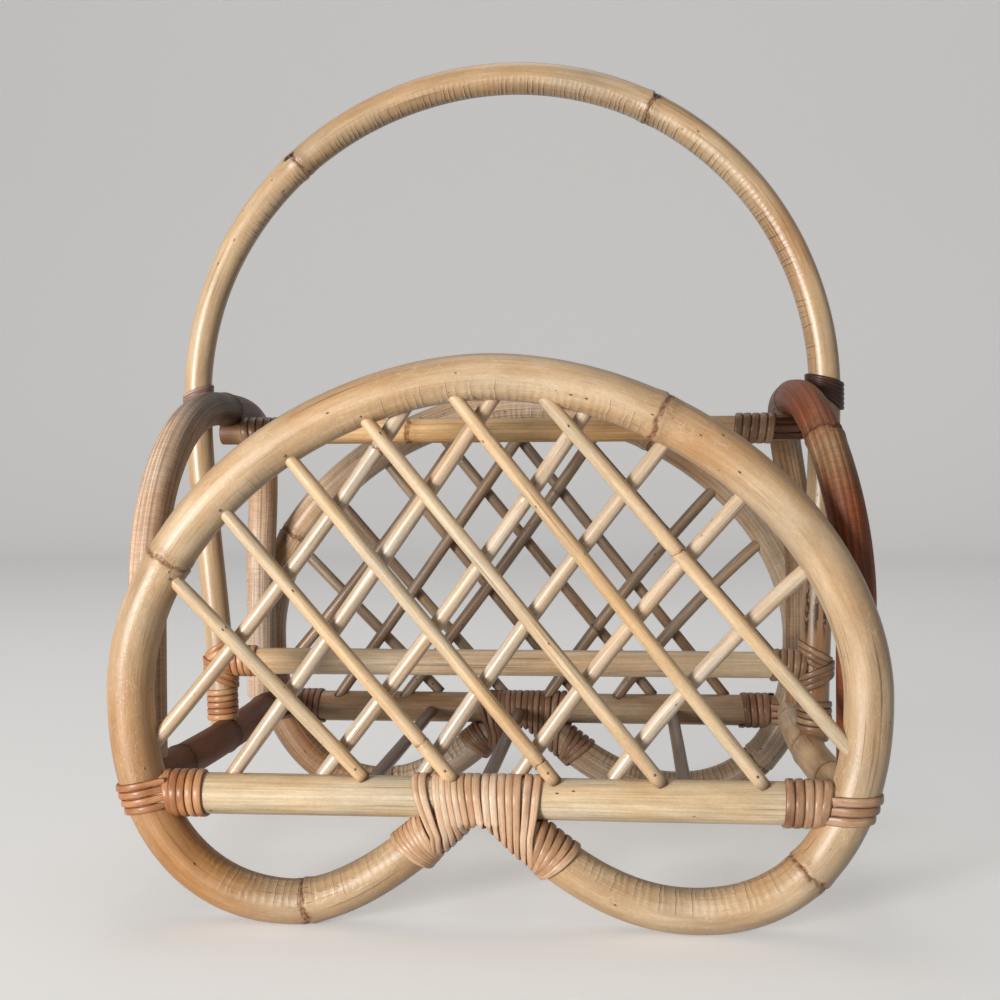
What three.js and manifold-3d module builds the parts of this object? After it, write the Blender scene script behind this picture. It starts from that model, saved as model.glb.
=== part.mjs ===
// Rattan magazine basket: two bent-pole panels with a rod lattice, two arched ends and a hoop handle,
// all nailed and lashed together with strips of cane.
// Millimetres. X runs along the panels, Y from the front panel to the back one, Z is up.
// The origin is on the floor, under the middle of the whole basket with its handle, which stands out
// a little further on the left.
import * as THREE from 'three';
import { mergeVertices } from 'three/addons/utils/BufferGeometryUtils.js';
import Module from 'manifold-3d';

const wasm = await Module();
wasm.setup();

// Clearances
const seat_gap = 0.3;               // between pieces that touch each other on the real basket
const layer_gap = 0.5;              // between the two layers of lattice rods

// Panel frame: one pole, bent to an arch above and to two foot lobes below
const frame_spacing = 288;          // between the centrelines of the front and back frames
const frame_half_width = 202;
const frame_radius = 13;
const frame_lobe_radius = 12.4;     // the pole gets thinner towards its two ends
const frame_tail_radius = 11.8;
const frame_wide_height = 128.5;    // where the frame is widest
const frame_apex_height = 300.5;
const shoulder_power = 1.87;        // below 2 the shoulders are leaner than an ellipse's
const lobe_centre = 109;            // of a foot lobe, from the middle of the panel
const lobe_power = 2.25;
const left_tail_power = 1.72;       // how late the tails steepen on their way up from the lobes
const right_tail_power = 1.96;
const meeting_shift = -6;           // of the place where the tails would meet, from the middle
const meeting_rise = 7;             // of that place above the rail's axis
const tail_gap = 3;                 // between the two ends of the pole, under the rail
const foot_wear = 0.8;              // depth of the worn flat under each lobe

// Rail across each panel, above the foot lobes
const rail_height = 71;
const rail_radius = 11.3;

// Lattice of each panel: falling rods lie outside, rising rods inside
const lattice_radius = 4.25;
const falling_foot_shares = [-0.344, -0.102, 0.172, 0.454, 0.721, 1.025];
const falling_top_shares = [-0.9, -0.755, -0.573, -0.365, -0.126, 0.105];
const rising_foot_shares = [-1.005, -0.714, -0.463, -0.186, 0.074, 0.335];
const rising_top_shares = [-0.191, 0.047, 0.294, 0.507, 0.715, 0.883];
const rising_bow_shares = [0.5, 0.1, 0.3, -0.4, -0.5, -0.55];
const bow_reach = 17;               // of a bowed rod's middle control point, at a share of 1

// Base bars, front to back, which the legs stand on
const left_base_rise = 5;           // of a bar's axis above the rails'
const right_base_rise = 0.5;
const base_radius = 10.5;
const base_end_shift = 1.2;         // of a bar's end outwards from the middle of the frame's pole
const base_end_lap = 3;             // of a bar's end over the inner side of the frame
const base_bow = 6;
const saddle_depth = 3;             // how far a foot is hollowed over the bar

// Hoop handle
const handle_radius = 10.2;
const handle_left_foot_radius = 8.6;
const handle_right_foot_radius = 9.6;
const handle_taper_share = 0.45;    // of the handle's length, over which each leg gets thicker
const handle_foot_shift = 4;        // of a leg's foot outwards from the middle of the base bar
const handle_left_spread = 15;      // of the hoop outwards from the leg's foot
const handle_right_spread = 7;
const handle_spring_height = 300;
const handle_apex_height = 503.8;

// Side arches
const arch_radius = 10.8;
const arch_foot_shift = 5;          // of a leg's foot outwards from the end of the base bar
const arch_spring_height = 176;
const left_arch_apex_height = 291.5;
const right_arch_apex_height = 295;
const arch_power = 2.8;
const arch_lean_power = 1.7;

// Divider rails along the middle
const top_rail_drop = 15;           // of the upper one below the top of the left arch
const top_rail_radius = 8;
const middle_rail_height = 125;
const middle_rail_radius = 8.5;

// Floor rods, front to back
const floor_rod_radius = 4.2;
const floor_rod_drop = 2;           // of a floor rod's axis below the rail's
const floor_rod_shares = [-0.366, -0.037, 0.53];

// Cane strips of the lashings
const strip_width = 3.6;
const centre_strip_width = 3;
const crossing_strip_width = 2.6;
const strip_thickness = 1.8;
const strip_crown_share = 0.62;     // width of a strip's outer face over its inner one
const strip_lift = 0.35;            // of a strip above the pole it is wound on
const least_strip_gap = 0.4;
const last_turn_share = 0.6;        // of a turn, that the last pass over the front takes

// Turns of the lashings, and the gaps between the turns
const centre_turns = 16;
const centre_shift = -6.2;          // of the middle lashing from the middle of the panel, on the rail
const centre_bottom_shift = -3.5;   // of its turns under the tails
const centre_top_gap = 1.55;
const centre_bottom_gap = 0.5;
const centre_waist_drop = 4.5;      // of the middle lashing's widest place below the rail's axis, at least
const tail_slack = 0.8;             // of the middle lashing under the sloping tails
const lobe_turns_left = 4;
const lobe_turns_right = 5;
const lobe_lashing_gap = 11;        // from the middle lashing's last turn to the first one on a lobe
const lobe_gap = 1.2;
const lobe_fan_share = 0.12;
const lobe_lean_share = 0.22;
const rail_end_turns = 5;
const rail_end_gap = 6.5;           // between the frame's pole and the first turn on the rail
const rail_end_fan = 1.5;           // of the first turn away from the frame, along the rail's underside
const rail_end_top_gap = 1.3;
const rail_end_bottom_gap = 1.2;
const strap_passes_left = 4;
const strap_passes_right = 3;
const strap_gap = 0.8;
const strap_tail = 5;
const foot_turns = 5;
const foot_lashing_rise = 3.5;      // of the first turn above the top of the base bar
const foot_gap = 0.6;
const middle_end_turns = 4;
const middle_end_gap = 0.8;
const top_end_turns = 5;
const top_end_gap = 1.2;
const crossing_turns = 3;
const crossing_gap = 0.6;
const lashing_end_gap = 0.6;        // between a lashing's outer turn and the piece beside it

// Fineness
const frame_step = 18;
const handle_step = 23;
const arch_step = 24;
const bar_step = 60;
const frame_sides = 12;
const pole_sides = 10;
const rod_sides = 8;
const bowed_rod_steps = 4;
const curve_samples = 600;
const round_steps = 8;              // of a strip, in each turn about a round pole

// Leaf rings of the rattan stem
const ring_half_length = 2.4;
const ring_rise = 0.7;
const frame_ring_shares = [0.09, 0.31, 0.58, 0.836];
const handle_ring_shares = [0.361, 0.588];
const base_ring_shares = [0.16, 0.47, 0.85];
const arch_ring_shares = [0.33, 0.74];

const colours = {
  pole: 0xd9b67d, dark_pole: 0x8a5a33, bar: 0x6e4a2c, rod: 0xdcbd86, cane: 0xc58a52,
};

const front_plane = -frame_spacing / 2;
const lobe_bottom = frame_lobe_radius - foot_wear;
const top_rail_height = left_arch_apex_height - top_rail_drop;
const strip_seat = strip_lift + strip_thickness / 2;

// A curve through chosen points, sampled finely enough for its length
function smoothCurve(points) {
  const curve = new THREE.CatmullRomCurve3(points, false, 'centripetal');
  curve.arcLengthDivisions = curve_samples;
  return curve;
}

// Signed power, for the rounded-square arcs of the bent poles
function bulge(value, power) {
  return Math.sign(value) * Math.abs(value) ** (2 / power);
}

// The same curve, walked at chosen shares of its length instead of evenly
class StationedCurve extends THREE.Curve {
  constructor(curve, shares) {
    super();
    this.curve = curve;
    this.shares = shares;
  }
  shareAt(u) {
    return this.shares[Math.round(u * (this.shares.length - 1))];
  }
  getPointAt(u, target) {
    return this.curve.getPointAt(this.shareAt(u), target);
  }
  getTangentAt(u, target) {
    return this.curve.getTangentAt(this.shareAt(u), target);
  }
}

// Even stations along a curve, with three more at each leaf ring and one at each fixed share
function stationShares(curve, step, ring_shares, fixed_shares) {
  const length = curve.getLength();
  const count = Math.max(1, Math.round(length / step));
  const marks = [...ring_shares, ...fixed_shares];
  const shares = [];
  for (let i = 0; i <= count; i += 1) {
    const share = i / count;
    const ends = i === 0 || i === count;
    const crowded = marks.some((mark) => Math.abs(mark - share) * length < step / 2);
    if (ends || !crowded) shares.push(share);
  }
  for (const ring of ring_shares) {
    shares.push(ring - ring_half_length / length, ring, ring + ring_half_length / length);
  }
  shares.push(...fixed_shares);
  return shares.sort((a, b) => a - b);
}

function polygon(radius, sides) {
  const points = [];
  for (let i = 0; i < sides; i += 1) {
    const angle = i / sides * 2 * Math.PI;
    points.push(new THREE.Vector2(radius * Math.cos(angle), radius * Math.sin(angle)));
  }
  return new THREE.Shape(points);
}

function bare(geometry) {
  geometry.deleteAttribute('normal');
  geometry.deleteAttribute('uv');
  return mergeVertices(geometry);
}

// A pole of rattan along a curve, swollen a little at its leaf rings. taper gives, for a share of
// the curve's length, how thick the pole is there as a share of its radius
function poleGeometry(curve, radius, sides, step, ring_shares = [], fixed_shares = [], taper = () => 1) {
  const shares = stationShares(curve, step, ring_shares, fixed_shares);
  const extrudePath = new StationedCurve(curve, shares);
  const steps = shares.length - 1;
  const geometry = bare(new THREE.ExtrudeGeometry(polygon(radius, sides), { steps, extrudePath }));
  const centres = shares.map((share) => curve.getPointAt(share));
  const positions = geometry.attributes.position;
  const point = new THREE.Vector3();
  for (let i = 0; i < positions.count; i += 1) {
    point.fromBufferAttribute(positions, i);
    const distances = centres.map((centre) => centre.distanceTo(point));
    const nearest = distances.indexOf(Math.min(...distances));
    const ring = ring_shares.includes(shares[nearest]) ? ring_rise / radius : 0;
    point.sub(centres[nearest]).multiplyScalar(taper(shares[nearest]) + ring).add(centres[nearest]);
    positions.setXYZ(i, point.x, point.y, point.z);
  }
  return geometry;
}

function toSolid(geometry) {
  const index = geometry.index.array;
  const mesh = new wasm.Mesh({
    numProp: 3,
    vertProperties: new Float32Array(geometry.attributes.position.array),
    triVerts: new Uint32Array(index),
  });
  return new wasm.Manifold(mesh);
}

function toGeometry(solid) {
  const mesh = solid.getMesh();
  const geometry = new THREE.BufferGeometry();
  geometry.setAttribute('position', new THREE.BufferAttribute(new Float32Array(mesh.vertProperties), 3));
  geometry.setIndex(new THREE.BufferAttribute(new Uint32Array(mesh.triVerts), 1));
  return geometry;
}

function carved(geometry, ...cutters) {
  let solid = toSolid(geometry);
  for (const cutter of cutters) solid = solid.subtract(toSolid(cutter));
  return toGeometry(solid);
}

// The mirror image of a piece across the plane through the origin square to an axis
function mirrored(geometry, axis) {
  const copy = geometry.clone();
  copy.scale(axis === 'x' ? -1 : 1, axis === 'y' ? -1 : 1, 1);
  const index = copy.index.array;
  for (let i = 0; i < index.length; i += 3) {
    [index[i], index[i + 1]] = [index[i + 1], index[i]];
  }
  return copy;
}

function moved(geometry, x, y, z) {
  return geometry.clone().translate(x, y, z);
}

// The tails rise from the lobes, ever steeper, to where they would meet just above the rail's axis
const meeting_height = rail_height + meeting_rise;
const tails = {
  left: { side: -1, power: left_tail_power, reach: lobe_centre + meeting_shift },
  right: { side: 1, power: right_tail_power, reach: lobe_centre - meeting_shift },
};

// Height and slope of a tail's centreline at a place across the panel
function tailAt(x) {
  const { side, power, reach } = x < meeting_shift ? tails.left : tails.right;
  const share = THREE.MathUtils.clamp((lobe_centre - side * x) / reach, 0, 1);
  const rise = meeting_height - lobe_bottom;
  const slope = Math.atan(rise * power * share ** (power - 1) / reach);
  return { height: lobe_bottom + rise * share ** power, slope, side };
}

// Half of the frame's centreline in its own plane, from the apex down to the tail's tip under the rail
function frameHalf(name) {
  const quarter_points = 18;
  const lobe_points = 10;
  const tail_points = 9;
  const { side } = tails[name];
  const rise = frame_apex_height - frame_wide_height;
  const drop = frame_wide_height - lobe_bottom;
  const points = [];
  for (let i = 0; i <= quarter_points; i += 1) {
    const angle = (1 - i / quarter_points) * Math.PI / 2;
    points.push(new THREE.Vector3(
      side * frame_half_width * bulge(Math.cos(angle), shoulder_power),
      0,
      frame_wide_height + rise * bulge(Math.sin(angle), shoulder_power),
    ));
  }
  for (let i = 1; i <= lobe_points; i += 1) {
    const angle = i / lobe_points * Math.PI / 2;
    points.push(new THREE.Vector3(
      side * (lobe_centre + (frame_half_width - lobe_centre) * bulge(Math.cos(angle), lobe_power)),
      0,
      frame_wide_height - drop * bulge(Math.sin(angle), lobe_power),
    ));
  }
  const { slope } = tailAt(meeting_shift + side * tail_gap);
  const tip = meeting_shift + side * (tail_gap / 2 + frame_tail_radius * Math.sin(slope));
  for (let i = 1; i <= tail_points; i += 1) {
    const x = THREE.MathUtils.lerp(side * lobe_centre, tip, i / tail_points);
    points.push(new THREE.Vector3(x, 0, tailAt(x).height));
  }
  return points;
}

const frameCurve = () => smoothCurve([...frameHalf('left').reverse(), ...frameHalf('right').slice(1)]);

// Share of a curve's length where a test value is least, within a range of shares
function shareOfLeast(curve, test, from, to) {
  let best = from;
  let least = Infinity;
  for (let i = 0; i <= curve_samples; i += 1) {
    const share = THREE.MathUtils.lerp(from, to, i / curve_samples);
    const value = test(curve.getPointAt(share));
    if (value < least) {
      least = value;
      best = share;
    }
  }
  return best;
}

const frame_curve = frameCurve();
const left_lobe_share = shareOfLeast(frame_curve, (point) => point.z, 0, 0.5);
const right_lobe_share = shareOfLeast(frame_curve, (point) => point.z, 0.5, 1);

// The pole's thickness along the frame, as a share of its full one
function frameTaper(share) {
  const half = share < 0.5 ? share / left_lobe_share : (1 - share) / (1 - right_lobe_share);
  const radius = half < 1
    ? THREE.MathUtils.lerp(frame_tail_radius, frame_lobe_radius, half)
    : THREE.MathUtils.lerp(frame_lobe_radius, frame_radius, Math.min(1, half - 1));
  return radius / frame_radius;
}

function frameTube(radius) {
  const marks = [left_lobe_share, right_lobe_share];
  return poleGeometry(
    frame_curve, radius, frame_sides, frame_step, frame_ring_shares, marks, frameTaper,
  );
}

// Half width of the frame's centreline at a height above the lobes
function frameReach(height) {
  const share = shareOfLeast(frame_curve, (point) => Math.abs(point.z - height), 0.5, right_lobe_share);
  return frame_curve.getPointAt(share).x;
}

// The frame, planed flat where the rail sits on the tails and worn flat under the lobes
function frameGeometry() {
  const seat_height = rail_height - rail_radius - seat_gap;
  const seat_depth = 2 * frame_radius;
  const seat = new THREE.BoxGeometry(lobe_centre, 2 * seat_depth, seat_depth);
  seat.translate(0, 0, seat_height + seat_depth / 2);
  const floor = new THREE.BoxGeometry(2 * frame_half_width, 2 * seat_depth, seat_depth);
  floor.translate(0, 0, -seat_depth / 2);
  return carved(frameTube(frame_radius), bare(seat), bare(floor));
}

const frame_cutter = frameTube(frame_radius + seat_gap);

function straight(from, to) {
  return new THREE.LineCurve3(from, to);
}

function railTube(radius, reach) {
  const left = new THREE.Vector3(-reach, 0, rail_height);
  const right = new THREE.Vector3(reach, 0, rail_height);
  return poleGeometry(straight(left, right), radius, frame_sides, 2 * reach);
}

const rail_reach = frameReach(rail_height);
const railGeometry = () => carved(railTube(rail_radius, rail_reach), frame_cutter);
const rail_cutter = railTube(rail_radius + seat_gap, rail_reach);

// How far the middle of a strip stands off a pole, when its turns have the given steps
function stripOffset(radius, steps) {
  return strip_seat + (radius + strip_seat) * (1 - Math.cos(Math.PI / steps));
}

// Room taken by the middle lashing round the rail, for the rods that end on it
const lashing_room = stripOffset(frame_radius, round_steps) + strip_thickness / 2 + tail_slack + seat_gap;
const centre_top_pitch = centre_strip_width + centre_top_gap;
const centre_bottom_pitch = centre_strip_width + centre_bottom_gap;
const centre_half_length = (centre_turns - 1) / 2 * centre_top_pitch + centre_strip_width;
function lashingRoom(radius, beyond) {
  const half_length = centre_half_length + beyond;
  const curve = straight(
    new THREE.Vector3(centre_shift - half_length, 0, rail_height),
    new THREE.Vector3(centre_shift + half_length, 0, rail_height),
  );
  return poleGeometry(curve, radius / Math.cos(Math.PI / frame_sides), frame_sides, 2 * half_length);
}

// A rod ends on the lashing if any of its foot, twice as wide as the rod where it slants, lies there
const endsOnLashing = (x, radius) => Math.abs(x - centre_shift) < centre_half_length + 2 * radius;

// One rod of the lattice: it rises from the rail, or from the frame, to the frame's arch.
// lean is 1 where the rod leans to the right as it rises, in the inner layer, and -1 in the outer one
function latticeGeometry(lean, foot_share, top_share, bow_share = 0) {
  const foot_x = foot_share * frame_half_width;
  const foot_z = rail_height + rail_radius;
  const top_x = top_share * frame_half_width;
  const top_z = archHeight(top_share);
  const slope = Math.abs((top_z - foot_z) / (top_x - foot_x));
  const lineX = (z) => foot_x + lean * (z - foot_z) / slope;
  const samples = [];
  for (let i = 0; i <= curve_samples; i += 1) {
    const z = THREE.MathUtils.lerp(rail_height, top_z, i / curve_samples);
    if (insideFrame(lineX(z), z)) samples.push(z);
  }
  const y = lean * (lattice_radius + layer_gap / 2);
  const low = new THREE.Vector3(lineX(samples[0]), y, samples[0]);
  const high = new THREE.Vector3(top_x, y, top_z);
  const bow = bow_share * bow_reach;
  const middle = low.clone().add(high).multiplyScalar(1 / 2);
  middle.x += bow * Math.sin(Math.atan(slope));
  middle.z -= bow * Math.cos(Math.atan(slope));
  const curve = new THREE.QuadraticBezierCurve3(low, middle, high);
  const length = low.distanceTo(high);
  const step = bow_share === 0 ? length : length / bowed_rod_steps;
  const cutters = [frame_cutter, rail_cutter];
  if (endsOnLashing(foot_x, lattice_radius)) {
    cutters.push(lashingRoom(rail_radius + lashing_room, 4 * lattice_radius));
  }
  return carved(poleGeometry(curve, lattice_radius, rod_sides, step), ...cutters);
}

// Height of the frame's arch at a share of its half width
function archHeight(share) {
  const rise = frame_apex_height - frame_wide_height;
  return frame_wide_height + rise * (1 - Math.abs(share) ** shoulder_power) ** (1 / shoulder_power);
}

// Whether a point of the panel's plane lies inside the frame's centreline, above the lobes
function insideFrame(x, z) {
  if (z >= frame_wide_height) {
    const rise = (z - frame_wide_height) / (frame_apex_height - frame_wide_height);
    return (Math.abs(x) / frame_half_width) ** shoulder_power + rise ** shoulder_power < 1;
  }
  const drop = (frame_wide_height - z) / (frame_wide_height - lobe_bottom);
  const reach = Math.max(0, Math.abs(x) - lobe_centre) / (frame_half_width - lobe_centre);
  return reach ** lobe_power + drop ** lobe_power < 1;
}

// A base bar as if on the right, bowed a little towards the middle, and where the legs stand on it
function baseBar(rise) {
  const height = rail_height + rise;
  const end_reach = frameReach(height) + base_end_shift;
  const end_depth = frame_spacing / 2 - frame_radius + base_end_lap;
  const curve = new THREE.QuadraticBezierCurve3(
    new THREE.Vector3(end_reach, -end_depth, height),
    new THREE.Vector3(end_reach - 2 * base_bow, 0, height),
    new THREE.Vector3(end_reach, end_depth, height),
  );
  return {
    tube: (radius) => poleGeometry(curve, radius, pole_sides, bar_step, base_ring_shares),
    foot_height: height + base_radius - saddle_depth,
    handle_reach: end_reach - base_bow + handle_foot_shift,
    arch_reach: end_reach + arch_foot_shift,
  };
}

const base_bars = { left: baseBar(left_base_rise), right: baseBar(right_base_rise) };
const baseCutter = (side) => base_bars[side].tube(base_radius + seat_gap);
function baseGeometry(side) {
  const cutters = [frame_cutter, rail_cutter].flatMap((cutter) => [
    moved(cutter, 0, front_plane, 0), moved(cutter, 0, -front_plane, 0),
  ]);
  return carved(base_bars[side].tube(base_radius), ...cutters);
}

const hoop_reaches = {
  left: base_bars.left.handle_reach + handle_left_spread,
  right: base_bars.right.handle_reach + handle_right_spread,
};

// How far the handle's leg on a side stands out at a height
function legReach(height, side) {
  const { foot_height, handle_reach } = base_bars[side];
  const share = THREE.MathUtils.clamp((height - foot_height) / (handle_spring_height - foot_height), 0, 1);
  const ease = share * share * (3 - 2 * share);
  return THREE.MathUtils.lerp(handle_reach, hoop_reaches[side], ease);
}

function handleHalf(side) {
  const leg_points = 8;
  const hoop_points = 14;
  const { foot_height } = base_bars[side];
  const rise = handle_apex_height - handle_spring_height;
  const points = [];
  for (let i = 0; i < leg_points; i += 1) {
    const z = THREE.MathUtils.lerp(foot_height, handle_spring_height, i / leg_points);
    points.push(new THREE.Vector3(legReach(z, side), 0, z));
  }
  for (let i = 0; i <= hoop_points; i += 1) {
    const angle = i / hoop_points * Math.PI / 2;
    const z = handle_spring_height + rise * Math.sin(angle);
    points.push(new THREE.Vector3(hoop_reaches[side] * Math.cos(angle), 0, z));
  }
  return points;
}

function handleCurve() {
  const left = handleHalf('left').map((point) => new THREE.Vector3(-point.x, 0, point.z));
  const right = handleHalf('right').slice(0, -1).reverse();
  return smoothCurve([...left, ...right]);
}

const handle_curve = handleCurve();

// Share of the handle's length where the leg on a side passes a height
function handleShare(side, height) {
  const from = side === 'left' ? 0 : 0.5;
  return shareOfLeast(handle_curve, (point) => Math.abs(point.z - height), from, from + 0.5);
}

// The pole's thickness along the handle, as a share of its full one
function handleTaper(share) {
  const left = Math.min(1, share / handle_taper_share) ** 2;
  const right = Math.min(1, (1 - share) / handle_taper_share) ** 2;
  return Math.min(
    THREE.MathUtils.lerp(handle_left_foot_radius, handle_radius, left),
    THREE.MathUtils.lerp(handle_right_foot_radius, handle_radius, right),
  ) / handle_radius;
}

const legRadius = (side, height) => handle_radius * handleTaper(handleShare(side, height));
function handleTube(radius) {
  return poleGeometry(
    handle_curve, radius, pole_sides, handle_step, handle_ring_shares, [], handleTaper,
  );
}

const handleGeometry = () => carved(
  handleTube(handle_radius), baseCutter('right'), mirrored(baseCutter('left'), 'x'),
);

// A side arch, drawn on the right: its legs stand beside the frames and its top leans in to the handle
const arch_half_span = frame_spacing / 2 - frame_radius - arch_radius - seat_gap;
const arch_apex_heights = { left: left_arch_apex_height, right: right_arch_apex_height };
function archCurve(side) {
  const leg_points = 4;
  const top_points = 12;
  const { foot_height, arch_reach } = base_bars[side];
  const rise = arch_apex_heights[side] - arch_spring_height;
  const share = handleShare(side, arch_apex_heights[side]);
  const handle_reach = Math.abs(handle_curve.getPointAt(share).x);
  const lean = Math.abs(handle_curve.getTangentAt(share).z);
  const leg_radius = legRadius(side, arch_apex_heights[side]);
  const apex_reach = handle_reach - (leg_radius + arch_radius + seat_gap) / lean;
  const reach = (z) => {
    const climb = Math.max(0, (z - arch_spring_height) / rise);
    return THREE.MathUtils.lerp(arch_reach, apex_reach, climb ** arch_lean_power);
  };
  const half = [];
  for (let i = 0; i < leg_points; i += 1) {
    const z = THREE.MathUtils.lerp(foot_height, arch_spring_height, i / leg_points);
    half.push(new THREE.Vector3(reach(z), -arch_half_span, z));
  }
  for (let i = 0; i <= top_points; i += 1) {
    const angle = i / top_points * Math.PI / 2;
    const z = arch_spring_height + rise * bulge(Math.sin(angle), arch_power);
    half.push(new THREE.Vector3(reach(z), -arch_half_span * bulge(Math.cos(angle), arch_power), z));
  }
  const other = half.slice(0, -1).reverse().map((point) => new THREE.Vector3(point.x, -point.y, point.z));
  return smoothCurve([...half, ...other]);
}

const arch_curves = { left: archCurve('left'), right: archCurve('right') };
const archTube = (side, radius) => poleGeometry(
  arch_curves[side], radius, pole_sides, arch_step, arch_ring_shares, [0.5],
);
const archGeometry = (side) => carved(archTube(side, arch_radius), baseCutter(side));

// The divider rails: the lower one runs between the handle's legs, the upper one under the arch tops
function middleRailGeometry() {
  const left = legReach(middle_rail_height, 'left');
  const right = legReach(middle_rail_height, 'right');
  const curve = straight(
    new THREE.Vector3(-left, 0, middle_rail_height),
    new THREE.Vector3(right, 0, middle_rail_height),
  );
  return carved(
    poleGeometry(curve, middle_rail_radius, pole_sides, left + right),
    handleTube(handle_radius + seat_gap),
  );
}

function topRailGeometry() {
  const left = arch_curves.left.getPointAt(0.5).x;
  const right = arch_curves.right.getPointAt(0.5).x;
  const curve = straight(
    new THREE.Vector3(-left, 0, top_rail_height),
    new THREE.Vector3(right, 0, top_rail_height),
  );
  const tube = poleGeometry(curve, top_rail_radius, pole_sides, left + right);
  const left_cutter = mirrored(archTube('left', arch_radius + seat_gap), 'x');
  return carved(tube, left_cutter, archTube('right', arch_radius + seat_gap));
}

function floorRodGeometry(share) {
  const x = share * frame_half_width;
  const z = rail_height - floor_rod_drop;
  const curve = straight(new THREE.Vector3(x, front_plane, z), new THREE.Vector3(x, -front_plane, z));
  const ends = [rail_cutter];
  if (endsOnLashing(x, floor_rod_radius)) {
    ends.push(lashingRoom(frame_lobe_radius + lashing_room, 4 * floor_rod_radius));
  }
  const cutters = ends.flatMap((cutter) => [
    moved(cutter, 0, front_plane, 0), moved(cutter, 0, -front_plane, 0),
  ]);
  return carved(poleGeometry(curve, floor_rod_radius, rod_sides, frame_spacing), ...cutters);
}

// A strip of cane along stations that each have a point and the direction that faces out
const gap_report = [];
function stripGeometry(name, stations, width, far) {
  const count = stations.length;
  const rings = stations.map((station, i) => {
    const before = stations[Math.max(0, i - 1)].point;
    const after = stations[Math.min(count - 1, i + 1)].point;
    const along = after.clone().sub(before).normalize();
    const out = station.out.clone().addScaledVector(along, -station.out.dot(along)).normalize();
    const across = new THREE.Vector3().crossVectors(out, along);
    const corner = (side, up) => station.point.clone()
      .addScaledVector(across, side * width / 2)
      .addScaledVector(out, up * strip_thickness / 2);
    return [corner(-1, -1), corner(1, -1), corner(strip_crown_share, 1), corner(-strip_crown_share, 1)];
  });
  measureGap(name, rings, far);
  const sides = rings[0].length;
  const positions = rings.flat().flatMap((corner) => corner.toArray());
  const index = [];
  for (let i = 0; i + 1 < count; i += 1) {
    for (let j = 0; j < sides; j += 1) {
      const a = i * sides + j;
      const b = i * sides + (j + 1) % sides;
      index.push(a, b, a + sides, b, b + sides, a + sides);
    }
  }
  const last = (count - 1) * sides;
  for (let j = 1; j + 1 < sides; j += 1) {
    index.push(0, j + 1, j, last, last + j, last + j + 1);
  }
  const geometry = new THREE.BufferGeometry();
  geometry.setAttribute('position', new THREE.Float32BufferAttribute(positions, 3));
  geometry.setIndex(index);
  return geometry;
}

// Least distance between points of the strip that lie further apart along it than the given stations
function measureGap(name, rings, far) {
  const samples = [];
  for (let i = 0; i + 1 < rings.length; i += 1) {
    rings[i].forEach((corner, j) => {
      const between = corner.clone().lerp(rings[i + 1][j], 0.5);
      samples.push({ at: i, point: corner }, { at: i + 0.5, point: between });
    });
  }
  let least = Infinity;
  for (const a of samples) {
    for (const b of samples) {
      if (b.at - a.at > far) least = Math.min(least, a.point.distanceTo(b.point));
    }
  }
  gap_report.push({ name, least });
}

// Turns of a strip that each pass the front, with a straight run of one strip width at each end
function turnStations(turns, steps, width, at) {
  const last = Math.round((turns - 1 + last_turn_share) * steps);
  const stations = [];
  for (let i = 0; i <= last; i += 1) {
    stations.push(at(i / steps, i / steps * 2 * Math.PI));
  }
  const run = (end, next) => ({
    point: end.point.clone().add(end.point.clone().sub(next.point).setLength(width)),
    out: end.out,
  });
  return [run(stations[0], stations[1]), ...stations, run(stations.at(-1), stations.at(-2))];
}

// Turns about a round pole. The strip's place along the pole goes from its upper line to its lower one.
// placeAt gives, for a turn, the places along the curve of the upper and of the lower line
function poleLashing(name, curve, radius, up, turns, steps, placeAt, sense = 1, width = strip_width) {
  const length = curve.getLength();
  const offset = radius + stripOffset(radius, steps);
  const at = (turn, angle) => {
    const [upper, lower] = placeAt(turn);
    const place = THREE.MathUtils.lerp(lower, upper, (1 + Math.cos(angle)) / 2);
    const centre = curve.getPointAt(place / length);
    const along = curve.getTangentAt(place / length);
    const top = up.clone().addScaledVector(along, -up.dot(along)).normalize();
    const side = new THREE.Vector3().crossVectors(along, top);
    const out = top.multiplyScalar(Math.cos(angle)).addScaledVector(side, sense * Math.sin(angle));
    return { point: centre.addScaledVector(out, offset), out };
  };
  return stripGeometry(name, turnStations(turns, steps, width, at), width, steps / 2);
}

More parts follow.
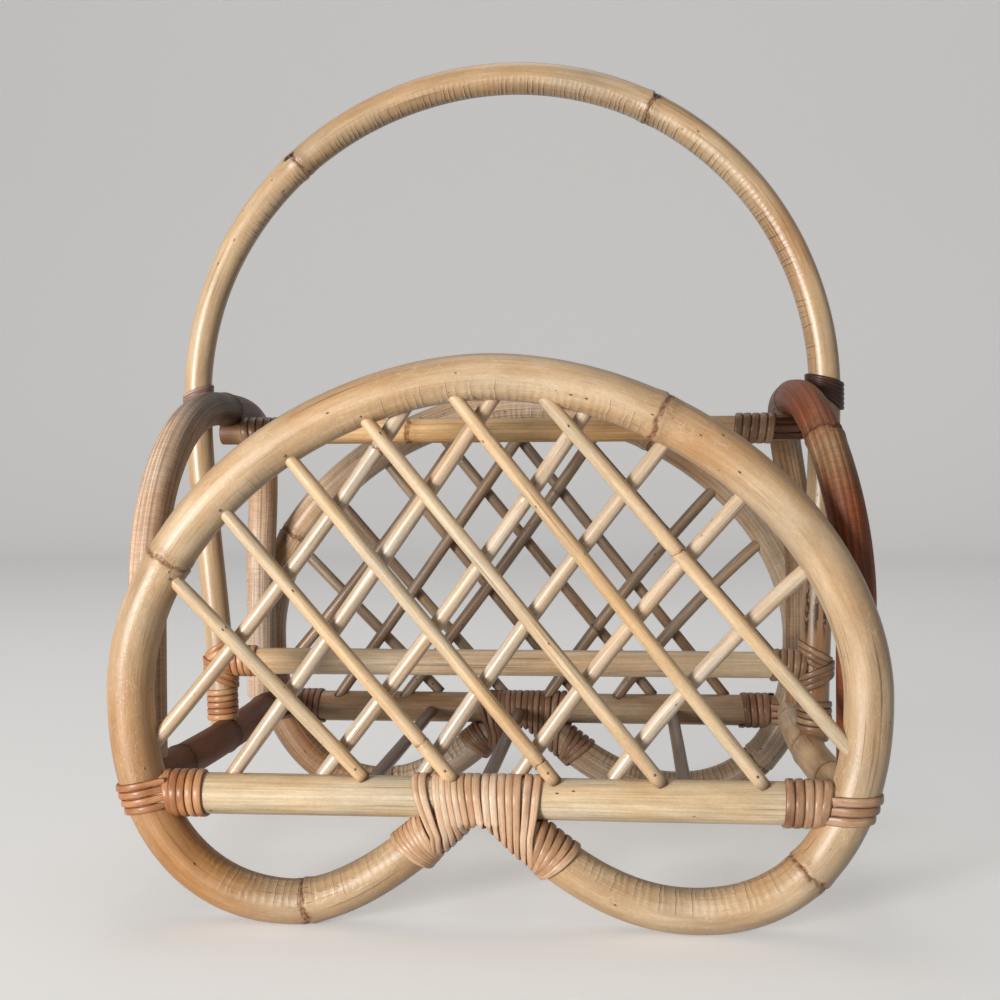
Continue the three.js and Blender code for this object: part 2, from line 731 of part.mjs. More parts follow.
// The middle lashing goes round the rail and the tails of the frame below it
function centreLashing(name) {
  const steps = 10;
  const half_turns = (centre_turns - 1) / 2;
  const offset = stripOffset(frame_radius, round_steps);
  const diagonal = Math.SQRT1_2;
  const bottomX = (order) => centre_bottom_shift + order * centre_bottom_pitch;
  const topX = (order) => centre_shift + order * centre_top_pitch;
  const profile = (x) => {
    const { height: tail, slope, side } = tailAt(x);
    const wide = frame_lobe_radius + offset;
    const waist = Math.min(tail, rail_height - centre_waist_drop);
    const deep = frame_tail_radius / Math.cos(slope) + offset + tail_slack;
    const low_wide = wide + tail_slack;
    const round = rail_radius + offset;
    const slant = -side * Math.tan(slope);
    return [
      [0, rail_height + round, 0, 0, 1],
      [-diagonal * round, rail_height + diagonal * round, 0, -1, 1],
      [-round, rail_height, 0, -1, 0],
      [-wide, waist, 0, -1, 0],
      [-diagonal * low_wide, tail - diagonal * deep, slant / 2, -1, -1],
      [0, tail - deep, slant, 0, -1],
      [diagonal * low_wide, tail - diagonal * deep, slant / 2, 1, -1],
      [wide, waist, 0, 1, 0],
      [round, rail_height, 0, 1, 0],
      [diagonal * round, rail_height + diagonal * round, 0, 1, 1],
    ];
  };
  const lower_shares = [0, 0.05, 0.2, 0.85, 0.95, 1, 0.95, 0.85, 0.2, 0.05];
  const at = (turn) => {
    const step = Math.round(turn * steps) % steps;
    const order = Math.floor(turn + 0.5 / steps) - half_turns;
    const climb = step > steps / 2 ? (step - steps / 2) / (steps / 2) : 0;
    const low_x = bottomX(order + climb);
    const x = THREE.MathUtils.lerp(topX(order + climb), low_x, lower_shares[step]);
    const [y, z, ...out] = profile(low_x)[step];
    return { point: new THREE.Vector3(x, y, z), out: new THREE.Vector3(...out).normalize() };
  };
  const stations = turnStations(centre_turns, steps, centre_strip_width, at);
  return stripGeometry(name, stations, centre_strip_width, steps / 2);
}

// Turns round one tail of the frame, just outside the middle lashing
function lobeLashing(name, end, turns) {
  const { side } = tails[end];
  const half_length = (centre_turns - 1) / 2 * centre_bottom_pitch;
  const start_x = centre_bottom_shift + side * (half_length + lobe_lashing_gap);
  const [from, to] = end === 'left' ? [0, left_lobe_share] : [right_lobe_share, 1];
  const length = frame_curve.getLength();
  const start = length * shareOfLeast(frame_curve, (point) => Math.abs(point.x - start_x), from, to);
  const radius = frame_radius * frameTaper((from + to) / 2);
  const lean = lobe_lean_share * radius;
  const pitch = strip_width + lobe_gap;
  const placeAt = (turn) => [
    start - side * (turn * pitch * (1 + lobe_fan_share) - lean),
    start - side * (turn * pitch * (1 - lobe_fan_share) + lean),
  ];
  const up = new THREE.Vector3(0, 0, 1);
  return poleLashing(name, frame_curve, radius, up, turns, round_steps, placeAt, -1);
}

// Turns round the end of a panel's rail, drawn on the right
const rail_line = straight(
  new THREE.Vector3(0, 0, rail_height),
  new THREE.Vector3(rail_reach, 0, rail_height),
);
function railEndLashing(name) {
  const start = rail_reach - frame_radius - rail_end_gap;
  const placeAt = (turn) => [
    start - turn * (strip_width + rail_end_top_gap),
    start - rail_end_fan - turn * (strip_width + rail_end_bottom_gap),
  ];
  const up = new THREE.Vector3(0, 0, 1);
  return poleLashing(name, rail_line, rail_radius, up, rail_end_turns, round_steps, placeAt);
}

// One strip that passes to and fro round the outside of the frame where the rail meets it
function cornerStraps(name, passes) {
  const pass_steps = 5;
  const strap_pitch = strip_width + strap_gap;
  const first_angle = 78 * Math.PI / 180;
  const last_angle = 192 * Math.PI / 180;
  const length = frame_curve.getLength();
  const centre_share = shareOfLeast(
    frame_curve,
    (point) => Math.abs(point.z - rail_height),
    0.5,
    right_lobe_share,
  );
  const step_angle = (last_angle - first_angle) / pass_steps;
  const offset = frame_radius + stripOffset(frame_radius, 2 * Math.PI / step_angle);
  const local = (place, angle, past) => {
    const centre = frame_curve.getPointAt(place / length);
    const along = frame_curve.getTangentAt(place / length);
    const front = new THREE.Vector3(0, -1, 0);
    const inward = new THREE.Vector3().crossVectors(front, along).normalize();
    if (inward.x > 0) inward.negate();
    const out = inward.clone().multiplyScalar(Math.cos(angle)).addScaledVector(front, Math.sin(angle));
    const forward = inward.clone().multiplyScalar(-Math.sin(angle)).addScaledVector(front, Math.cos(angle));
    return { point: centre.addScaledVector(out, offset).addScaledVector(forward, past), out };
  };
  const stations = [];
  for (let pass = 0; pass < passes; pass += 1) {
    const place = centre_share * length + (pass - (passes - 1) / 2) * strap_pitch;
    const back = pass % 2 === 1;
    const row = [local(place, first_angle, -strap_tail)];
    for (let i = 0; i <= pass_steps; i += 1) row.push(local(place, first_angle + i * step_angle, 0));
    row.push(local(place, last_angle, strip_width));
    if (back) row.reverse();
    stations.push(...row);
    if (pass + 1 < passes) {
      const angle = back ? first_angle : last_angle;
      const past = back ? -strap_tail - strap_pitch / 2 : strip_width + strap_pitch / 2;
      stations.push(local(place + strap_pitch / 2, angle, past));
    }
  }
  return stripGeometry(name, stations, strip_width, pass_steps);
}

// Turns round a handle leg above its foot, at either end of the handle's curve
function footLashing(name, side) {
  const length = handle_curve.getLength();
  const first = saddle_depth + foot_lashing_rise;
  const placeAt = (turn) => {
    const place = first + turn * (strip_width + foot_gap);
    return side === 'left' ? [place, place] : [length - place, length - place];
  };
  const up = new THREE.Vector3(0, 1, 0);
  const radius = legRadius(side, base_bars[side].foot_height);
  return poleLashing(name, handle_curve, radius, up, foot_turns, round_steps, placeAt);
}

// Turns round a handle leg just above the top of the arch that it crosses
function crossingLashing(name, side) {
  const length = handle_curve.getLength();
  const height = arch_apex_heights[side] + arch_radius;
  const share = handleShare(side, height);
  const pitch = crossing_strip_width + crossing_gap;
  const rise = side === 'left' ? pitch : -pitch;
  const placeAt = (turn) => [share * length + turn * rise, share * length + turn * rise];
  const up = new THREE.Vector3(0, 1, 0);
  const radius = legRadius(side, height);
  return poleLashing(
    name, handle_curve, radius, up, crossing_turns, round_steps, placeAt, 1, crossing_strip_width,
  );
}

// Turns round the end of a divider rail, drawn on the right, from the piece that it meets inwards
function dividerLashing(name, height, radius, meeting, turns, gap) {
  const first = meeting - lashing_end_gap - strip_width;
  const pitch = strip_width + gap;
  const curve = straight(new THREE.Vector3(0, 0, height), new THREE.Vector3(meeting, 0, height));
  const placeAt = (turn) => [first - turn * pitch, first - turn * pitch];
  const up = new THREE.Vector3(0, 0, 1);
  return poleLashing(name, curve, radius, up, turns, round_steps, placeAt);
}

const materials = Object.fromEntries(Object.entries(colours).map(([name, color]) => [
  name, new THREE.MeshStandardMaterial({ color, roughness: 0.45, metalness: 0 }),
]));

function piece(name, geometry, material) {
  const mesh = new THREE.Mesh(geometry, materials[material]);
  mesh.name = name;
  return mesh;
}

// One panel, drawn as the front one; the back one is its mirror image
function panel(side) {
  const place = (geometry) => (side === 'front' ? geometry : mirrored(geometry, 'y'));
  const group = new THREE.Group();
  group.add(piece(`${side}_frame`, place(frame_solid), 'pole'));
  group.add(piece(`${side}_rail`, place(rail_solid), 'pole'));
  falling_rods.forEach((rod, i) => group.add(piece(`${side}_falling_rod_${i + 1}`, place(rod), 'rod')));
  rising_rods.forEach((rod, i) => group.add(piece(`${side}_rising_rod_${i + 1}`, place(rod), 'rod')));
  group.add(piece(`${side}_centre_lashing`, place(centreLashing(`${side}_centre_lashing`)), 'cane'));
  for (const [end, turns, passes] of [
    ['left', lobe_turns_left, strap_passes_left], ['right', lobe_turns_right, strap_passes_right],
  ]) {
    const turned = (geometry) => place(end === 'right' ? geometry : mirrored(geometry, 'x'));
    const lobe = `${side}_${end}_lobe_lashing`;
    const rail = `${side}_${end}_rail_lashing`;
    const straps = `${side}_${end}_corner_straps`;
    group.add(piece(lobe, place(lobeLashing(lobe, end, turns)), 'cane'));
    group.add(piece(rail, turned(railEndLashing(rail)), 'cane'));
    group.add(piece(straps, turned(cornerStraps(straps, passes)), 'cane'));
  }
  group.position.y = side === 'front' ? front_plane : -front_plane;
  return group;
}

// Handle, arches, base bars and divider rails, with their lashings
function middle() {
  const group = new THREE.Group();
  group.add(piece('handle', handleGeometry(), 'pole'));
  group.add(piece('middle_divider_rail', middleRailGeometry(), 'pole'));
  group.add(piece('top_divider_rail', topRailGeometry(), 'pole'));
  for (const side of ['left', 'right']) {
    const place = (geometry) => (side === 'right' ? geometry : mirrored(geometry, 'x'));
    const leg = legReach(middle_rail_height, side) - legRadius(side, middle_rail_height);
    const arch = arch_curves[side].getPointAt(0.5).x - arch_radius;
    const foot = `${side}_foot_lashing`;
    const crossing = `${side}_crossing_lashing`;
    const middle_end = `${side}_middle_rail_lashing`;
    const top_end = `${side}_top_rail_lashing`;
    group.add(piece(`${side}_side_arch`, place(archGeometry(side)), 'dark_pole'));
    group.add(piece(`${side}_base_bar`, place(baseGeometry(side)), 'bar'));
    group.add(piece(foot, footLashing(foot, side), 'cane'));
    group.add(piece(crossing, crossingLashing(crossing, side), 'cane'));
    group.add(piece(middle_end, place(dividerLashing(
      middle_end, middle_rail_height, middle_rail_radius, leg, middle_end_turns, middle_end_gap,
    )), 'cane'));
    group.add(piece(top_end, place(dividerLashing(
      top_end, top_rail_height, top_rail_radius, arch, top_end_turns, top_end_gap,
    )), 'cane'));
  }
  floor_rod_shares.forEach((share, i) => {
    group.add(piece(`floor_rod_${i + 1}`, floorRodGeometry(share), 'rod'));
  });
  return group;
}

const frame_solid = frameGeometry();
const rail_solid = railGeometry();
const falling_rods = falling_foot_shares.map((foot, i) => latticeGeometry(
  -1, foot, falling_top_shares[i],
));
const rising_rods = rising_foot_shares.map((foot, i) => latticeGeometry(
  1, foot, rising_top_shares[i], rising_bow_shares[i],
));

const basket = new THREE.Group();
basket.add(panel('front'), panel('back'), middle());
const extent = new THREE.Box3().setFromObject(basket);
basket.position.x = -(extent.min.x + extent.max.x) / 2;

for (const { name, least } of gap_report) {
  const verdict = least > least_strip_gap ? 'clear' : 'too close';
  console.log(`${name}: least gap between turns ${least.toFixed(2)} mm, ${verdict}`);
}

export default basket;
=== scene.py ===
"""Rattan magazine basket: bent poles, lattice rods and cane lashings with their surfaces.

Lengths are in millimetres until a mesh is made. X runs along the panels, Y away from the camera, Z up.
A side or an end is -1 on the left and 1 on the right. A panel is -1 in front, 1 at the back, and 0 for
what stands between the two.
"""
import math
import random

import bpy
import numpy as np
from mathutils import Matrix, Vector


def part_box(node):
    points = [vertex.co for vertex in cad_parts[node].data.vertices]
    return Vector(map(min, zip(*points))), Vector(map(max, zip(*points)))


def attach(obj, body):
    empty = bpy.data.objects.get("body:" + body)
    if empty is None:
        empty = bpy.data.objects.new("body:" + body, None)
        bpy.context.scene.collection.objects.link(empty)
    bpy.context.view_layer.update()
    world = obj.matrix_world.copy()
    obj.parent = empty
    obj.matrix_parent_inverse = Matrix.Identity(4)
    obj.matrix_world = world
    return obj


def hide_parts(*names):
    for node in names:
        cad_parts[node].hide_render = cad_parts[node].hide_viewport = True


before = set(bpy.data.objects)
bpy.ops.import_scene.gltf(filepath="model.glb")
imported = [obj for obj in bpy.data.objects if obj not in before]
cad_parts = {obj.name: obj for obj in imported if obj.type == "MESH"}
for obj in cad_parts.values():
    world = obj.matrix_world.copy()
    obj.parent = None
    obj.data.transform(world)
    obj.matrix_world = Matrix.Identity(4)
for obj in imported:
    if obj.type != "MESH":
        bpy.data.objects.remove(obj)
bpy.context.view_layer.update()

MM = 0.001
FULL_TURN = 2 * math.pi
SIDES = {-1: "left", 1: "right"}
PANELS = {-1: "front", 1: "back"}
FRONT = (0, -1, 0)
ABOVE = (0, 0, 1)

# Panel frames, with their leaf rings as shares of the pole
PANEL_Y = 144
HALF_WIDTH = 202
FRAME_RADIUS = 13
LOBE_RADIUS = 12.4
TAIL_RADIUS = 11.8
WIDE_HEIGHT = 128.5
APEX_HEIGHT = 300.5
SHOULDER_POWER = 1.87
LOBE_CENTRE = 109
LOBE_POWER = 2.25
LOBE_BOTTOM = 11.6
TAIL_POWERS = {-1: 1.72, 1: 1.96}
TAIL_GAP = 3
MEETING_SHIFT = -6
FRAME_RINGS = [0.09, 0.31, 0.579, 0.836]

# Rail across each panel, on the meeting tails of the frame
RAIL_HEIGHT = 71
RAIL_RADIUS = 11.3
MEETING_HEIGHT = RAIL_HEIGHT + 7
SEAT_HEIGHT = RAIL_HEIGHT - RAIL_RADIUS

# Lattice rods: shares of the half width at foot and top, and of the bow. The outer layer is -1
ROD_RADIUS = 4.25
ROD_LAYER = 4.5
ROD_STARTS = {-1: -0.01, 1: -0.02}
BOW_REACH = 17
FALLING_RODS = [(-0.344, -0.9, 0), (-0.102, -0.755, 0), (0.172, -0.573, 0), (0.454, -0.365, 0),
                (0.721, -0.126, 0), (1.025, 0.105, 0)]
RISING_RODS = [(-1.005, -0.191, 0.5), (-0.714, 0.047, 0.1), (-0.463, 0.294, 0.3), (-0.186, 0.507, -0.4),
               (0.074, 0.715, -0.5), (0.335, 0.883, -0.55)]
FALLING_RINGS = {2: [0.135], 3: [0.055], 6: [0.545]}
RISING_RINGS = {1: [0.84], 3: [0.74], 5: [0.31]}

# Base bars under the legs of the handle and the arches
BASE_HEIGHTS = {-1: 76, 1: 71.5}
BASE_RADIUS = 10.5
BASE_BOW = 6
BASE_END_SHIFT = 1.2
BASE_END_DEPTH = 134
BASE_RINGS = [0.16, 0.47, 0.85]
FOOT_RISE = 7.5
LEG_END_RISE = 5.5

# Handle
HANDLE_RADIUS = 10.2
HANDLE_FOOT_RADII = {-1: 8.6, 1: 9.6}
HANDLE_TAPER = 0.45
HANDLE_FOOT_SHIFT = 4
HANDLE_SPREADS = {-1: 15, 1: 7}
HANDLE_SPRING = 300
HANDLE_APEX = 503.8
HANDLE_RINGS = [0.361, 0.588]
HOLES_HEIGHT = 161

# Side arches
ARCH_RADIUS = 10.8
ARCH_GAP = 0.3
ARCH_FOOT_SHIFT = 5
ARCH_SPRING = 176
ARCH_APEXES = {-1: 291.5, 1: 295}
ARCH_POWER = 2.8
ARCH_LEAN_POWER = 1.7
ARCH_HALF_SPAN = 119.9
ARCH_RINGS = {-1: [0.49], 1: [0.33, 0.49]}

# Divider rails and floor rods
TOP_RAIL_HEIGHT = 276.5
TOP_RAIL_RADIUS = 8
TOP_RAIL_LAP = 4
MIDDLE_RAIL_HEIGHT = 125
MIDDLE_RAIL_RADIUS = 8.5
FLOOR_ROD_RADIUS = 4.2
FLOOR_ROD_HEIGHT = 69
FLOOR_ROD_INSET = 4
FLOOR_ROD_SHARES = [-0.366, -0.037, 0.53]

# Windings: points of a turn, and how much of the last turn is there
TURN_STEPS = 26
LAST_TURN = 0.6
STRIP_THICKNESS = 1.8

# Points of a bent pole's stretches
ARC_POINTS = 500
ARCH_POINTS = 900
LEG_POINTS = 300
CURVE_POINTS = 200

# The panels' middle lies a little beside the middle of the whole basket
frame_low, frame_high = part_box("front_frame")
CENTRE_X = (frame_low.x + frame_high.x) / 2 / MM


def unit(vectors):
    return vectors / np.linalg.norm(vectors, axis=-1, keepdims=True)


def walked(points):
    """Length of a path up to each of its points"""
    return np.concatenate([[0], np.cumsum(np.linalg.norm(np.diff(points, axis=0), axis=1))])


def between(wanted, places, rows):
    """Rows of numbers that stand at places, read at the wanted places"""
    return np.stack([np.interp(wanted, places, column) for column in rows.T], axis=-1)


def bulge(value, power):
    """Signed power, for the rounded-square arcs of the bent poles"""
    return np.sign(value) * np.abs(value) ** (2 / power)


def upright(x, z):
    return np.stack([x, np.zeros_like(x), z], axis=1)


class Line:
    """A centreline through close points, walked by its length. up faces one side of it all along"""

    def __init__(self, points, up):
        self.points = np.asarray(points, float)
        self.places = walked(self.points)
        self.length = self.places[-1]
        self.up = np.asarray(up, float)

    def at(self, places):
        return between(np.clip(places, 0, self.length), self.places, self.points)

    def frames(self, places):
        """Points, directions along the line, up directions and side directions"""
        places = np.asarray(places, float)
        reach = 1.5
        along = unit(self.at(places + reach) - self.at(places - reach))
        up = unit(self.up - along * (along @ self.up)[..., None])
        return self.at(places), along, up, np.cross(along, up)

    def place_of(self, test, low=0.0, high=1.0):
        """Place where a test of the points is least, between two shares of the length"""
        places = np.linspace(low * self.length, high * self.length, 4000)
        return places[np.argmin(test(self.at(places)))]


def tail_at(x):
    """Height and slope of a frame's tail at places across the panel"""
    x = np.asarray(x, float)
    side = np.where(x < MEETING_SHIFT, -1, 1)
    power = np.where(side < 0, TAIL_POWERS[-1], TAIL_POWERS[1])
    reach = LOBE_CENTRE - side * MEETING_SHIFT
    share = np.clip((LOBE_CENTRE - side * x) / reach, 0, 1)
    rise = MEETING_HEIGHT - LOBE_BOTTOM
    return LOBE_BOTTOM + rise * share ** power, np.arctan(rise * power * share ** (power - 1) / reach)


def frame_line():
    angle = np.linspace(0, math.pi / 2, ARC_POINTS)
    halves = {}
    for side in (-1, 1):
        arch_x = HALF_WIDTH * bulge(np.cos(angle), SHOULDER_POWER)
        arch_z = WIDE_HEIGHT + (APEX_HEIGHT - WIDE_HEIGHT) * bulge(np.sin(angle), SHOULDER_POWER)
        lobe_x = LOBE_CENTRE + (HALF_WIDTH - LOBE_CENTRE) * bulge(np.cos(angle), LOBE_POWER)
        lobe_z = WIDE_HEIGHT - (WIDE_HEIGHT - LOBE_BOTTOM) * bulge(np.sin(angle), LOBE_POWER)
        slope = float(tail_at(MEETING_SHIFT + side * TAIL_GAP)[1])
        tip = MEETING_SHIFT + side * (TAIL_GAP / 2 + TAIL_RADIUS * math.sin(slope))
        tail_x = np.linspace(side * LOBE_CENTRE, tip, LEG_POINTS)
        halves[side] = upright(np.concatenate([side * arch_x[::-1], side * lobe_x[1:], tail_x[1:]]),
                               np.concatenate([arch_z[::-1], lobe_z[1:], tail_at(tail_x)[0][1:]]))
    return Line(np.concatenate([halves[-1][::-1], halves[1][1:]]), FRONT)


FRAME = frame_line()
LEFT_LOBE = FRAME.place_of(lambda p: p[:, 2], 0, 0.5) / FRAME.length
RIGHT_LOBE = FRAME.place_of(lambda p: p[:, 2], 0.5, 1) / FRAME.length


def frame_taper(share):
    """The frame's pole is thinner at its lobes and thinnest at its tails"""
    half = np.where(share < 0.5, share / LEFT_LOBE, (1 - share) / (1 - RIGHT_LOBE))
    return np.interp(half, [0, 1, 2], [TAIL_RADIUS, LOBE_RADIUS, FRAME_RADIUS]) / FRAME_RADIUS


def frame_radius_at(share):
    return FRAME_RADIUS * frame_taper(share)


def frame_reach(height):
    place = FRAME.place_of(lambda p: np.abs(p[:, 2] - height), 0.5, RIGHT_LOBE)
    return float(FRAME.at(place)[0])


RAIL_REACH = frame_reach(RAIL_HEIGHT)
BASE_REACHES = {side: frame_reach(height) + BASE_END_SHIFT for side, height in BASE_HEIGHTS.items()}
HANDLE_REACHES = {side: reach - BASE_BOW + HANDLE_FOOT_SHIFT for side, reach in BASE_REACHES.items()}


def leg_reach(height, side):
    """How far the handle's leg on a side stands out at a height"""
    foot = BASE_HEIGHTS[side] + FOOT_RISE
    share = np.clip((height - foot) / (HANDLE_SPRING - foot), 0, 1)
    return HANDLE_REACHES[side] + HANDLE_SPREADS[side] * share * share * (3 - 2 * share)


def handle_line():
    angle = np.linspace(0, math.pi / 2, ARC_POINTS)[1:]
    halves = {}
    for side in (-1, 1):
        leg_z = np.linspace(BASE_HEIGHTS[side] + LEG_END_RISE, HANDLE_SPRING, LEG_POINTS)
        hoop = (HANDLE_REACHES[side] + HANDLE_SPREADS[side]) * np.cos(angle)
        rise = (HANDLE_APEX - HANDLE_SPRING) * np.sin(angle)
        halves[side] = upright(side * np.concatenate([leg_reach(leg_z, side), hoop]),
                               np.concatenate([leg_z, HANDLE_SPRING + rise]))
    return Line(np.concatenate([halves[-1], halves[1][-2::-1]]), FRONT)


HANDLE = handle_line()


def handle_place(side, height):
    low = 0 if side < 0 else 0.5
    return HANDLE.place_of(lambda p: np.abs(p[:, 2] - height), low, low + 0.5)


def handle_taper(share):
    """The handle's pole is thinner towards its feet, most on the left"""
    radii = [HANDLE_FOOT_RADII[side] + (HANDLE_RADIUS - HANDLE_FOOT_RADII[side])
             * np.minimum(1, away / HANDLE_TAPER) ** 2 for side, away in ((-1, share), (1, 1 - share))]
    return np.minimum(*radii) / HANDLE_RADIUS


def handle_radius_at(share):
    return HANDLE_RADIUS * handle_taper(share)


def arch_line(side):
    """A side arch: its legs stand beside the frames and its top leans in to the handle"""
    rise = ARCH_APEXES[side] - ARCH_SPRING
    place = handle_place(side, ARCH_APEXES[side])
    point, along, _, _ = HANDLE.frames(np.array([place]))
    leg = handle_radius_at(place / HANDLE.length)
    apex = abs(point[0, 0]) - (leg + ARCH_RADIUS + ARCH_GAP) / abs(along[0, 2])
    foot = BASE_REACHES[side] + ARCH_FOOT_SHIFT
    angle = np.linspace(0, math.pi / 2, ARCH_POINTS)[1:]
    leg_z = np.linspace(BASE_HEIGHTS[side] + LEG_END_RISE, ARCH_SPRING, CURVE_POINTS)
    z = np.concatenate([leg_z, ARCH_SPRING + rise * bulge(np.sin(angle), ARCH_POWER)])
    climb = np.clip((z - ARCH_SPRING) / rise, 0, 1)
    x = foot + (apex - foot) * climb ** ARCH_LEAN_POWER
    y = -ARCH_HALF_SPAN * np.concatenate([np.ones_like(leg_z), bulge(np.cos(angle), ARCH_POWER)])
    half = np.stack([side * x, y, z], axis=1)
    return Line(np.concatenate([half, half[-2::-1] * (1, -1, 1)]), (-side, 0, 0))


ARCHES = {side: arch_line(side) for side in SIDES}
ARCH_TOPS = {side: abs(float(arch.at(arch.length / 2)[0])) for side, arch in ARCHES.items()}


def bezier(start, control, end):
    share = np.linspace(0, 1, CURVE_POINTS)[:, None]
    start, control, end = (np.asarray(point, float) for point in (start, control, end))
    return (1 - share) ** 2 * start + 2 * share * (1 - share) * control + share ** 2 * end


def base_line(side):
    reach, height = BASE_REACHES[side], BASE_HEIGHTS[side]
    return Line(bezier((side * reach, -BASE_END_DEPTH, height), (side * (reach - 2 * BASE_BOW), 0, height),
                       (side * reach, BASE_END_DEPTH, height)), ABOVE)


def straight(start, end):
    start, end = np.asarray(start, float), np.asarray(end, float)
    count = max(2, int(np.linalg.norm(end - start) / 2))
    return Line(start + (end - start) * np.linspace(0, 1, count)[:, None], ABOVE)


def level(from_x, to_x, height):
    return straight((from_x, 0, height), (to_x, 0, height))


def rod_line(foot_share, top_share, bow_share, layer):
    """A lattice rod from the rail, or the frame beside it, up to the frame's arch"""
    low = ROD_STARTS[layer]
    y = layer * ROD_LAYER
    foot_x, foot_z = foot_share * HALF_WIDTH, RAIL_HEIGHT + RAIL_RADIUS
    top_x = top_share * HALF_WIDTH
    arch = 1 - abs(top_share) ** SHOULDER_POWER
    top_z = WIDE_HEIGHT + (APEX_HEIGHT - WIDE_HEIGHT) * arch ** (1 / SHOULDER_POWER)
    run, rise = top_x - foot_x, top_z - foot_z
    for _ in range(200):
        x, z = foot_x + run * low, foot_z + rise * low
        drop = (WIDE_HEIGHT - z) / (WIDE_HEIGHT - LOBE_BOTTOM)
        reach = max(0, abs(x) - LOBE_CENTRE) / (HALF_WIDTH - LOBE_CENTRE)
        if drop <= 0 or reach ** LOBE_POWER + drop ** LOBE_POWER < 1:
            break
        low += 0.005
    start = np.array([foot_x + run * low, y, foot_z + rise * low])
    end = np.array([top_x, y, top_z])
    along = unit(end - start)
    bow = bow_share * BOW_REACH * np.array([abs(along[2]), 0, -abs(along[0])])
    return Line(bezier(start, (start + end) / 2 + bow, end), FRONT)


def add_piece(name, solid, points, faces, material, slot, panel=0, flat_faces=0, **carried):
    """A piece of the basket from points at its middle, moved to their panel and mirrored at the back.
    A skin's points carry their unbent place, for the grain, and three shares that mark it. The last
    faces may be flat. The piece stands for the solid of that name, where there is one"""
    points = np.asarray(points) * (1, -1 if panel > 0 else 1, 1) + (CENTRE_X, panel * PANEL_Y, 0)
    if panel > 0:
        faces = [face[::-1] for face in faces]
    mesh = bpy.data.meshes.new(name)
    mesh.from_pydata((points * MM).tolist(), [], faces)
    smooth = np.arange(len(faces)) < len(faces) - flat_faces
    mesh.polygons.foreach_set("use_smooth", smooth)
    for title, values in carried.items():
        attribute = mesh.attributes.new(title, "FLOAT_VECTOR", "POINT")
        attribute.data.foreach_set("vector", np.asarray(values, np.float32).ravel())
    mesh.update()
    mesh.materials.append(material)
    thing = bpy.data.objects.new(name, mesh)
    bpy.context.scene.collection.objects.link(thing)
    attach(thing, "root")
    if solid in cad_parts:
        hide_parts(solid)


def closed(stations, ends):
    return np.concatenate([stations.reshape(-1, 3), ends])


def tube_faces(count, sides):
    """Faces of a closed tube of stations, with one more point at each end for its caps, which come last"""
    station = np.arange(count - 1)[:, None] * sides
    here = np.arange(sides)[None, :]
    after = (here + 1) % sides
    quads = np.stack([station + here, station + sides + here, station + sides + after, station + after],
                     axis=-1).reshape(-1, 4)
    first, last = count * sides, count * sides + 1
    base = (count - 1) * sides
    caps = [[first, i, (i + 1) % sides] for i in range(sides)]
    caps += [[last, base + (i + 1) % sides, base + i] for i in range(sides)]
    return quads.tolist() + caps


END_STATIONS = np.array([0, 0.15, 0.4, 0.7, 1.0])
RING_STATIONS = np.concatenate([np.arange(-10, -4, 1.0), np.arange(-4, 4, 0.45), np.arange(4, 10.1, 1.0)])
POLE_END_MARKS = (0, 0.5, 0.6)


def station_places(line, step, ease, rings, ring_size):
    """Places of a pole's stations, closer at its leaf rings and its eased ends"""
    places = [np.arange(0, line.length, step), [line.length]]
    places += [END_STATIONS * ease, line.length - END_STATIONS * ease]
    places += [ring * line.length + RING_STATIONS * ring_size for ring in rings]
    places = np.unique(np.round(np.clip(np.concatenate(places), 0, line.length), 3))
    return places[np.concatenate([[True], np.diff(places) > 0.1])]


def inner_side(places, along, radial):
    """How much each point of a pole lies on the inner side of its bend, from 0 to 1"""
    bend = np.gradient(along, places, axis=0)
    even = np.ones(9) / 9
    bend = unit(np.stack([np.convolve(bend[:, i], even, mode="same") for i in range(3)], axis=1))
    return np.clip(0.25 + 0.75 * (bend[:, None] * radial).sum(-1), 0, 1)


def leaf_ring(rng, away, angle, phase):
    """Relief and dark mask of a jagged leaf ring, from the way along the pole to its middle"""
    jag = (rng.uniform(0.6, 1.6) * np.sin(angle + phase) + 0.5 * np.sin(4 * angle + rng.uniform(0, 6))
           + 0.45 * np.sin(7 * angle + rng.uniform(0, 6)) + 0.4 * np.sin(12 * angle + rng.uniform(0, 6)))
    away = away - jag
    broad = 1.25 + 0.5 * np.sin(angle + rng.uniform(0, 6)) + 0.3 * np.sin(3 * angle + rng.uniform(0, 6))
    swell = 0.7 * np.exp(-(away / 5.0) ** 2)
    notch = np.exp(-(away / 0.7) ** 2) + 0.35 * np.exp(-((away - 1.6) / 0.9) ** 2)
    step = 0.125 * (1 + np.tanh(0.8 * away)) * np.exp(-(away / 12) ** 2)
    mask = np.exp(-((away - 0.6) / broad) ** 4) + 0.35 * np.exp(-((away - 2.5) / 5.5) ** 2)
    return swell - notch - step, mask


